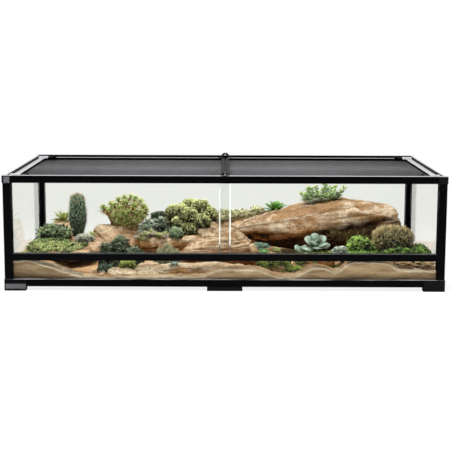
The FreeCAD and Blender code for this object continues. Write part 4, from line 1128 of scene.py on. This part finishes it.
def one_rosette(name, spot, template, count, length, rises, shrink, paint, seed, nodes=()):
    plant = Growth(seed)
    plant.rosette(template, spot, UP + np.array([0, -0.15, 0]), count, length, *rises, shrink, 0.7)
    plant.build(name, PAINT[paint], nodes=nodes)


def foot_of(box):
    return np.append(inside(box, 0.5)[:2], box[0][2] + 0.003)


def rosettes():
    """The single rosettes, then those on the middle rock."""
    agave, shelf, small, _, green = islands("rosette_plants")
    for name, foot, template, count, length, rises, shrink, paint, seed, nodes in (
            ("agave", foot_of(agave), LANCE, 18, 0.046, (8, 80), 0.75, "agave", 111, ["rosette_plants"]),
            ("emerald", foot_of(green), STRAP, 34, 0.044, (10, 84), 0.75, "emerald", 112, ()),
            ("dark", land_point(0.172, -0.505), SPATULA, 38, 0.034, (-12, 36), 0.5, "teal", 113, ()),
            ("small", foot_of(small), SPATULA, 26, 0.018, (8, 80), 0.5, "small", 114, ()),
            ("second_small", land_point(-0.237, -0.86), SPATULA, 26, 0.017, (8, 80), 0.5, "small", 116, ()),
            ("fresh", land_point(0.185, -0.6), SPATULA, 26, 0.022, (10, 80), 0.55, "fresh", 117, ())):
        one_rosette(name + "_rosette", foot, template, count, length, rises, shrink, paint, seed, nodes)
    shelf_rosettes(shelf)


def shelf_rosettes(box):
    """Small rosettes along the edge of the middle rock, some green and some mauve."""
    green, mauve = Growth(115), Growth(118)
    random = green.random
    for number in range(46):
        share = (random.uniform(-0.05, 1.3), random.uniform(-0.15, 0.9), 0)
        spot = cast_down(*inside(box, share)[:2])[0] + UP * 0.002
        pole = UP + random.normal(0, 0.25, 3)
        plant = green if number % 3 else mauve
        length, tint = random.uniform(0.014, 0.021), random.uniform(0.3, 0.95)
        plant.rosette(SPATULA, spot, pole, 18, length, low=8, high=80, shrink=0.5, tint=tint)
    green.build("shelf_rosettes", PAINT["shelf"])
    mauve.build("shelf_mauve_rosettes", PAINT["shelf_mauve"])


def sprigs(name, box, template, paint, seed, count, leaves, size, below, clump, relief):
    plant = Growth(seed)
    sprig_dome(plant, box, template, count, leaves, size, below, clump, relief, seed * 0.7)
    plant.build(name, PAINT[paint])


def grass_mound(box):
    """Dense cushion of fine grey-green blades that lean to the right."""
    plant = Growth(127)
    random = plant.random
    form = Dome(box, below=-0.3, clump=0.022, relief=0.25, seed=6.0)
    count = 1500
    places, outward, out = form.spread(random, count)
    ways = unit(outward * 0.5 + UP * 0.5 + np.array([0.35, -0.1, 0]) + random.normal(0, 0.25, outward.shape))
    sizes = random.uniform(0.016, 0.028, count)
    # Painted light and shade: blades that stand out of the gaps and face up get a lighter tint
    tints = np.clip(0.15 + 0.45 * out + 0.35 * outward[:, 2] + random.normal(0, 0.2, count), 0, 1)
    plant.leaves(BLADE, places - ways * sizes[:, None] * 0.7, leaf_axes(ways, outward + 0.05), sizes, tints)
    form.heart(plant)
    plant.build("grass_mound", PAINT["grass"])


def ground_cover():
    """Mats and low plants of the CAD's ground cover, then the smaller ones among them."""
    _, sage, _, grass, ball, _, _, _ = islands("ground_cover")
    ledge = [(-0.835, -0.46, 0.15, 0.19, 330), (-0.9, -0.5, 0.07, 0.2, 120), (-0.86, -0.26, 0.09, 0.1, 60),
             (-0.945, -0.55, 0.03, 0.2, 90)]
    carpet("ledge_sedum", ledge, SPATULA, "sedum", 121, leaves=9, size=0.016, rise=0.009,
           nodes=["ground_cover"])
    back = [(-0.86, -0.2, 0.1, 0.1, 110), (-0.84, -0.45, 0.15, 0.2, 110)]
    carpet("ledge_sedum_shade", back, SPATULA, "sedum_shade", 129, leaves=9, size=0.017, rise=0.011)
    dome = share_box(sage, (-0.05, -0.05, 0.0), (1.1, 1.0, 1.1))
    sprigs("sage_dome", dome, SPATULA, "sage", 122, count=110, leaves=9, size=0.012,
           below=-0.2, clump=0.013, relief=0.28)
    ridge = [(0.055, 0.72, 0.13, 0.1, 190), (0.0, 0.72, 0.06, 0.12, 120), (0.15, 0.72, 0.06, 0.08, 50)]
    carpet("heather_mat", ridge, SPATULA, "heather", 123, leaves=9, size=0.017, rise=0.022)
    front = [(0.225, -0.73, 0.075, 0.07, 150), (0.335, -0.75, 0.06, 0.05, 120)]
    carpet("front_moss", front, SPATULA, "moss", 124, leaves=8, size=0.014, rise=0.006)
    right = [(0.855, -0.67, 0.13, 0.09, 220), (0.94, -0.5, 0.045, 0.25, 190), (0.8, -0.74, 0.17, 0.06, 110)]
    carpet("right_moss", right, SPATULA, "green_moss", 125, leaves=8, size=0.017, rise=0.016, tone=-0.02)
    shelf = [(-0.335, 0.29, 0.1, 0.11, 190), (-0.4, 0.26, 0.05, 0.09, 60), (-0.27, 0.27, 0.05, 0.09, 70)]
    carpet("teal_mat", shelf, OVAL, "teal_mat", 128, leaves=9, size=0.02, rise=0.034)
    sprigs("shelf_ball", ball, SPATULA, "ball", 126, count=110, leaves=10, size=0.011,
           below=-0.3, clump=0.014, relief=0.22)
    grass_mound(share_box(grass, (0.1, 0.0, 0.0), (1.35, 1.0, 0.97)))
    lower_growth()
    dry_grass()


def lower_growth():
    """Small plants that stand on the sand and the stones."""
    for name, place, template, paint, seed, count, leaves, size, below, clump, relief in (
            ("low_dark_mat", (-0.56, -0.80, 0.045, 0.09, 0.03), SPATULA, "dark_mat", 131, 70, 10, 0.016,
             -0.3, 0.018, 0.3),
            ("low_yellow_mat", (-0.455, -0.84, 0.045, 0.06, 0.03), SPATULA, "yellow_mat", 132, 60, 10, 0.014,
             -0.3, 0.016, 0.3),
            ("grey_mat", (0.562, -0.56, 0.06, 0.08, 0.032), OVAL, "grey_mat", 133, 90, 8, 0.017,
             -0.2, 0.024, 0.25),
            ("lemon_ball", (0.25, -0.47, 0.022, 0.045, 0.02), SPATULA, "lemon", 134, 70, 9, 0.007,
             -0.3, 0.009, 0.2)):
        sprigs(name, land_box(*place), template, paint, seed, count, leaves, size, below, clump, relief)
    one_rosette("cactus_foot_tuft", land_point(-0.69, 0.3), LANCE, 26, 0.026, (15, 75), 0.7, "lemon", 137)
    stone = [(0.42, -0.66, 0.09, 0.07, 150), (0.5, -0.6, 0.05, 0.05, 50)]
    carpet("stone_moss", stone, SPATULA, "moss", 135, leaves=8, size=0.013, rise=0.006)
    slab = [(0.66, -0.72, 0.1, 0.08, 150)]
    carpet("slab_moss", slab, SPATULA, "green_moss", 136, leaves=8, size=0.014, rise=0.008)


# The hollow in which dry grass grows, in metres from left to right and from foot to top
HOLLOW_X = (0.315, 0.45)
HOLLOW_Z = (0.088, 0.112)


def dry_grass():
    """Dry grass in the hollow under the boulder's flank."""
    plant = Growth(141)
    random = plant.random
    tufts, blades = 46, 22
    for _ in range(tufts):
        x, z = random.uniform(*HOLLOW_X), random.uniform(*HOLLOW_Z) + random.uniform(0, 0.01)
        spot = GROUND.ray_cast(Vector((x, ROOM_LOW[1], z)), Vector((0, 1, 0)))[0]
        ways = unit(random.normal(0, 0.45, (blades, 3)) + np.array([0, -0.35, 0.9]))
        axes = leaf_axes(ways, np.broadcast_to(UP, ways.shape) + 0.05)
        roots = np.array(spot) + random.normal(0, 0.003, (blades, 3))
        plant.leaves(BLADE, roots, axes, random.uniform(0.012, 0.03, blades), random.uniform(0.1, 1, blades))
    plant.build("dry_grass", PAINT["dry_grass"])


# Lids

def wire_net(side):
    """Fine net of round wires in two layers, in the place of the CAD's coarse sheet."""
    low, high = node_box("lid_net_" + side)
    pitch, radius, sides = 2.2 * MM, 0.27 * MM, 6
    points, faces = [], []
    turns = [2 * math.pi * k / sides for k in range(sides)]
    ring = [(radius * math.cos(turn), radius * math.sin(turn)) for turn in turns]
    for axis, height in ((0, low[2] + radius), (1, low[2] + 2.7 * radius)):
        other = 1 - axis
        count = int((high[other] - low[other]) / pitch)
        for wire in range(count):
            across = low[other] + (high[other] - low[other]) * (wire + 0.5) / count
            base = len(points)
            for end in (low[axis], high[axis]):
                for u, v in ring:
                    spot = [0, 0, height + v]
                    spot[axis] = end
                    spot[other] = across + u
                    points.append(spot)
            faces += tube_faces(2, sides, base)
    obj = new_object("wire_net_" + side, points, faces)
    return finish_piece(obj, NET_WIRE, "lid_" + side, ["lid_net_" + side])


# Finishes of the CAD nodes that stay in view

COAT_BLACK = (0.0005, 0.0005, 0.0007, 1), (0.0012, 0.0012, 0.0016, 1)
# Each coat's sheen is a painted reflection on its top faces, set for each rail, lid and fitting
FRAME_BLACK = coat("frame_coat", *COAT_BLACK, rough=0.18, sheen=0.27)
SIDE_BLACK = coat("side_rail_coat", *COAT_BLACK, rough=0.18, sheen=0.66)
# The lids' painted sheen stops short of their outer edges, which stay dark as painted shade
LID_BLACK = coat("lid_coat", *COAT_BLACK, rough=0.2, sheen=0.43, reach=0.5955)
# The bottom rail's top gets a patchy painted highlight in its pale colour, with no metal
FOOT_BLACK = coat("bottom_rail_coat", *COAT_BLACK, rough=0.3, sheen=1.0, metal=0.0, patchy=0.8)
PLASTIC_BLACK, BOARD_BLACK, BAR_GREY, FITTING, STEEL, NET_WIRE = [
    coat(name, dark, light, rough, sheen, grain) for name, dark, light, rough, sheen, grain in (
        ("moulding", (0.003, 0.003, 0.0034, 1), (0.007, 0.007, 0.0075, 1), 0.3, 0.35, 500.0),
        ("base_board", (0.01, 0.01, 0.01, 1), (0.02, 0.019, 0.018, 1), 0.6, 0.1, 300.0),
        ("centre_coat", (0.003, 0.003, 0.004, 1), (0.008, 0.008, 0.009, 1), 0.5, 0.01, 900.0),
        ("lid_fitting", (0.002, 0.002, 0.0024, 1), (0.006, 0.006, 0.007, 1), 0.3, 0.08, 700.0),
        ("pin_steel", (0.35, 0.35, 0.36, 1), (0.5, 0.5, 0.5, 1), 0.3, 0.8, 1200.0),
        ("net_wire", (0.033, 0.033, 0.035, 1), (0.06, 0.06, 0.063, 1), 0.5, 0.2, 1500.0))]
# Painted reflections: a pale gleam on the front left foot and corner, and a painted glint on the bolts' outer
# ends
FOOT_PAINTED_GLEAM, CORNER_PAINTED_GLEAM, BOLT_PAINTED_GLINT = [
    painted_gleam_plastic(name, low * MM, high * MM, left * MM, right * MM, dark, light)
    for name, low, high, left, right, dark, light in (
        ("foot_painted_gleam", 4, 20, 607, 0, (66, 66, 68), (92, 92, 94)),
        ("corner_painted_gleam", 297, 318, 605, 588, (60, 60, 62), (100, 100, 104)),
        ("bolt_end_painted_glint", 305, 325, 600, 566, (156, 156, 160), (180, 180, 184)))]
GLASS_Y = pane_glass("pane_facing_front", "Y", 1.05)
GLASS_X = pane_glass("pane_facing_side", "X", 1.1)

# A node has the first finish of this list that one of its beginnings fits
CAD_FINISHES = [
    (GLASS_X, ("glass_left", "glass_right")),
    (GLASS_Y, ("glass_", "door_left", "door_right")),
    (PLASTIC_BLACK, ("corner_feet", "centre_feet", "top_corners", "door_track_")),
    (BOARD_BLACK, ("base_panel",)),
    (SIDE_BLACK, ("top_rail_left", "top_rail_right")),
    (FOOT_BLACK, ("bottom_rail_front",)),
    (BOLT_PAINTED_GLINT, ("bolt_",)),
    (LID_BLACK, ("lid_frame_",)),
    (BAR_GREY, ("centre_bar",)),
    (STEEL, ("hinge_pins",)),
    (FITTING, ("hinge_",)),
    (FRAME_BLACK, ("",)),
]

for node_name, node_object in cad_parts.items():
    finish = next(paint for paint, starts in CAD_FINISHES if node_name.startswith(starts))
    node_object.data.materials.clear()
    node_object.data.materials.append(finish)
    node_object.data.shade_flat()

# The lids' rails beside the hinge line have the dull coat of the centre bar, without the painted sheen of the
# rest of the lid
CENTRE_REACH = 30 * MM
for lid_side in ("left", "right"):
    lid_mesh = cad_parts["lid_frame_" + lid_side].data
    lid_mesh.materials.append(BAR_GREY)
    for polygon in lid_mesh.polygons:
        polygon.material_index = int(abs(polygon.center.x) < CENTRE_REACH)

# The mouldings at the front left get a painted gleam, a painted reflection, on their front faces
for mould, gleam in (("corner_feet", FOOT_PAINTED_GLEAM), ("top_corners", CORNER_PAINTED_GLEAM)):
    mould_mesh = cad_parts[mould].data
    mould_mesh.materials.append(gleam)
    left_reach, front_reach, _ = node_box(mould)[0] + np.array([60, 2, 0]) * MM
    for polygon in mould_mesh.polygons:
        x, y, _ = polygon.center
        front_left = x < left_reach and y < front_reach
        polygon.material_index = int(front_left and polygon.normal.y < -FACING_FRONT)

for lid_side in ("left", "right"):
    wire_net(lid_side)


# The landscape: pale, main, warm and deep colours of each stone as picture values, and its streaks' stretch.
# Pale goes to faces that look up and deep to those that look down, as painted light and shade

STONE_LOOKS = dict(
    boulder=((228, 208, 182), (178, 141, 103), (144, 94, 45), (42, 24, 7), (0.45, 0.6, 2.0)),
    slab=((222, 198, 168), (170, 134, 98), (146, 98, 56), (112, 64, 28), (0.35, 0.5, 2.4)),
    ridge=((244, 222, 192), (212, 176, 134), (164, 118, 72), (66, 42, 22), (0.6, 0.6, 1.6)),
    front=((220, 194, 162), (186, 150, 114), (162, 114, 72), (56, 38, 22), (0.4, 0.5, 2.4)),
    peach=((246, 230, 206), (232, 204, 170), (214, 170, 122), (136, 90, 52), (0.6, 0.7, 1.4)),
    gravel=((230, 220, 202), (200, 186, 164), (166, 146, 120), (104, 86, 64), (1, 1, 1)),
    bark=((226, 192, 152), (176, 136, 94), (100, 68, 38), (30, 20, 10), (0.4, 0.4, 3.0)),
)
BOULDER, SLAB, RIDGE, FRONT, PEACH, GRAVEL, BARK = [
    stone_paint(name + "_stone", *look) for name, look in STONE_LOOKS.items()]

LAND = [
    # The stones' grooves, dents and darkened feet are painted shade
    node_stone("right_boulder", BOULDER, 1.0, (-0.2, 0.05, 1.0), voxel=3.0, under=0.5, seams=0.5,
               grooves=[(58, 8, 13)], damp=68,
               dents=[((320, -45, 124), 24, 8), ((375, -45, 136), 24, 8), ((430, -40, 148), 24, 8)]),
    node_stone("centre_slab_rock", SLAB, 2.0, (-0.12, 0.05, 1.0), voxel=2.6, rounding=14, beds=3.4,
               joints=4.0, course=5.5, damp=96),
    node_stone("middle_rock", RIDGE, 3.0, (-0.1, 0.1, 1.0)),
    node_stone("left_ledge_rock", FRONT, 4.0, (0.05, 0.1, 1.0)),
    node_stone("back_rocks", RIDGE, 5.0, (0.1, -0.1, 1.0), rounding=16),
    node_stone("front_rocks", FRONT, 6.0, (0.1, 0.1, 1.0)),
    lying_stone("slab_apron", PEACH, (-215, -262, 20), (70, -196, 66), 7.0, (-0.1, 0.2, 1.0), swell=4.0,
                dents=[((-80, -262, 55), 26, 9)]),
    lying_stone("left_lump", PEACH, (-330, -284, 16), (-246, -236, 58), 9.0, (0.1, 0.2, 1.0), swell=5.0),
    lying_stone("middle_lump", PEACH, (-254, -272, 16), (-172, -216, 68), 10.0, (-0.1, 0.2, 1.0), swell=5.0),
    lying_stone("slab_shoulder", SLAB, (40, -176, 30), (112, -96, 104), 8.0, (-0.12, 0.05, 1.0), swell=5.0),
]
SAND = SandField()
LAND.append(SAND.build(sand_paint()))
GROUND = ground_tree(LAND)


def strewn(count, x_range, y_range, sizes, lift, seed):
    """Random spots on the sand in ranges of room shares, and a size for each; lift is in millimetres."""
    random = np.random.default_rng(seed)
    half = (ROOM_HIGH - ROOM_LOW) / 2
    middle = (ROOM_HIGH + ROOM_LOW) / 2
    xs = middle[0] + half[0] * random.uniform(*x_range, count)
    ys = middle[1] + half[1] * random.uniform(*y_range, count)
    size = random.uniform(*sizes, count) * MM
    rise = random.uniform(0, lift, count) * MM
    places = [np.array([x, y, SAND.height(x, y) + r]) for x, y, r in zip(xs, ys, rise)]
    return places, size


for name, paint, count, x_range, y_range, sizes, lift, seed, flat in (
        ("peach_lumps", PEACH, 26, (-0.58, -0.28), (-0.95, -0.80), (6, 15), 3, 151, 0.6),
        ("sand_gravel", PEACH, 190, (-0.66, 0.54), (-0.98, -0.72), (1.2, 3.6), 1, 152, 0.6),
        ("block_gravel", PEACH, 60, (0.56, 0.97), (-0.97, -0.84), (1.0, 3.0), 1, 153, 0.6),
        ("bank_gravel", GRAVEL, 260, (-0.93, -0.66), (-0.985, -0.9), (1.2, 3.6), 1, 154, 0.6),
        ("bark_pile", BARK, 70, (0.80, 0.97), (-0.95, -0.84), (4, 11), 14, 155, 0.35)):
    chips(name, paint, *strewn(count, x_range, y_range, sizes, lift, seed), seed, flat)

cactus("column", COLUMN, 11, body=dict(ribs=15, rows=8, depth=0.24),
       spines=dict(ribs=15, rows=19, bunch=5, length=0.0062, splay=0.9),
       crown=dict(count=240, reach=0.18, sizes=(0.006, 0.011)))
cactus("barrel", BARREL, 21, body=dict(ribs=18, rows=5, depth=0.16),
       spines=dict(ribs=17, rows=11, bunch=7, length=0.0135, splay=0.8, lean=0.4),
       crown=dict(count=700, reach=0.5, sizes=(0.007, 0.013)))
clipped_bush()
star_shrub()
cushion_shrub()
juniper()
blue_bush()
leafy_shrub()
bright_bush()
glaucous_succulent()
rosettes()
ground_cover()


# Stage, light and camera

def floor_paint():
    """Pale floor that keeps the shadow near the object and runs into the white background."""
    g = Graph("studio_floor")
    tone = g.ramp(g.noise(3.0, 2.0), [(0.3, grey(0.86)), (0.7, grey(0.9))])
    lit = g.add("BsdfDiffuse", {"Color": tone}).outputs[0]
    white = g.add("Emission", {"Color": grey(1), "Strength": 1.0}).outputs[0]
    away = g.add("VectorMath", {"Vector": g.place()}, operation="LENGTH").outputs["Value"]
    share = g.math("MULTIPLY", g.seen(), g.fit(away, 0.6, 1.3, 0.84, 1.0))
    return g.surface(g.blend(share, lit, white))


def sky_light():
    """Light from all round, dimmer from the front; where it is looked at, the background is white."""
    g = Graph("studio_light", "worlds")
    behind = g.axis(g.add("TexCoord").outputs["Generated"], "Y")
    level = g.math("MAXIMUM", g.seen(), g.fit(behind, -0.75, 0.1, 0.16, 1.0))
    return g.surface(g.add("Background", {"Color": level}).outputs[0], "OutputWorld")


# Round lamps that look at the object: name, place, size and power
LAMPS = [("key", (-1.3, -2.2, 2.4), 0.8, 78), ("fill", (1.5, -3.0, 0.7), 1.8, 14),
         ("top", (0.1, -0.35, 2.2), 1.0, 75)]
LAMP_TARGET = Vector((0, 0, 0.12))

# Reach of the floor in metres, to both sides and the front, and to the back
FLOOR_REACH = 9
FLOOR_BACK = 12


def studio():
    corners = ((-1, -FLOOR_REACH), (1, -FLOOR_REACH), (1, FLOOR_BACK), (-1, FLOOR_BACK))
    points = [(side * FLOOR_REACH, y, 0) for side, y in corners]
    floor = new_object("studio_floor", points, [(0, 1, 2, 3)])
    floor.data.materials.append(floor_paint())
    SCENE.world = sky_light()
    for name, place, size, power in LAMPS:
        lamp = bpy.data.lights.new(name, "AREA")
        lamp.shape = "DISK"
        lamp.size = size
        lamp.energy = power
        lamp_object = bpy.data.objects.new(name, lamp)
        SCENE.collection.objects.link(lamp_object)
        lamp_object.location = place
        lamp_object.rotation_euler = (LAMP_TARGET - Vector(place)).to_track_quat("-Z", "Y").to_euler()


def photo_camera():
    lens = bpy.data.cameras.new("photo_camera")
    lens.sensor_fit = "HORIZONTAL"
    lens.sensor_width = SENSOR
    lens.lens = SENSOR * FOCAL_PIXELS / PHOTO_WIDTH
    camera = bpy.data.objects.new("photo_camera", lens)
    SCENE.collection.objects.link(camera)
    pitch = Matrix.Rotation(math.radians(90 - CAMERA_PITCH), 4, "X")
    turn = pitch @ Matrix.Rotation(math.radians(CAMERA_ROLL), 4, "Z")
    camera.matrix_world = Matrix.Translation(CAMERA_PLACE) @ turn
    SCENE.camera = camera


studio()
photo_camera()
SCENE.view_settings.view_transform = "Standard"
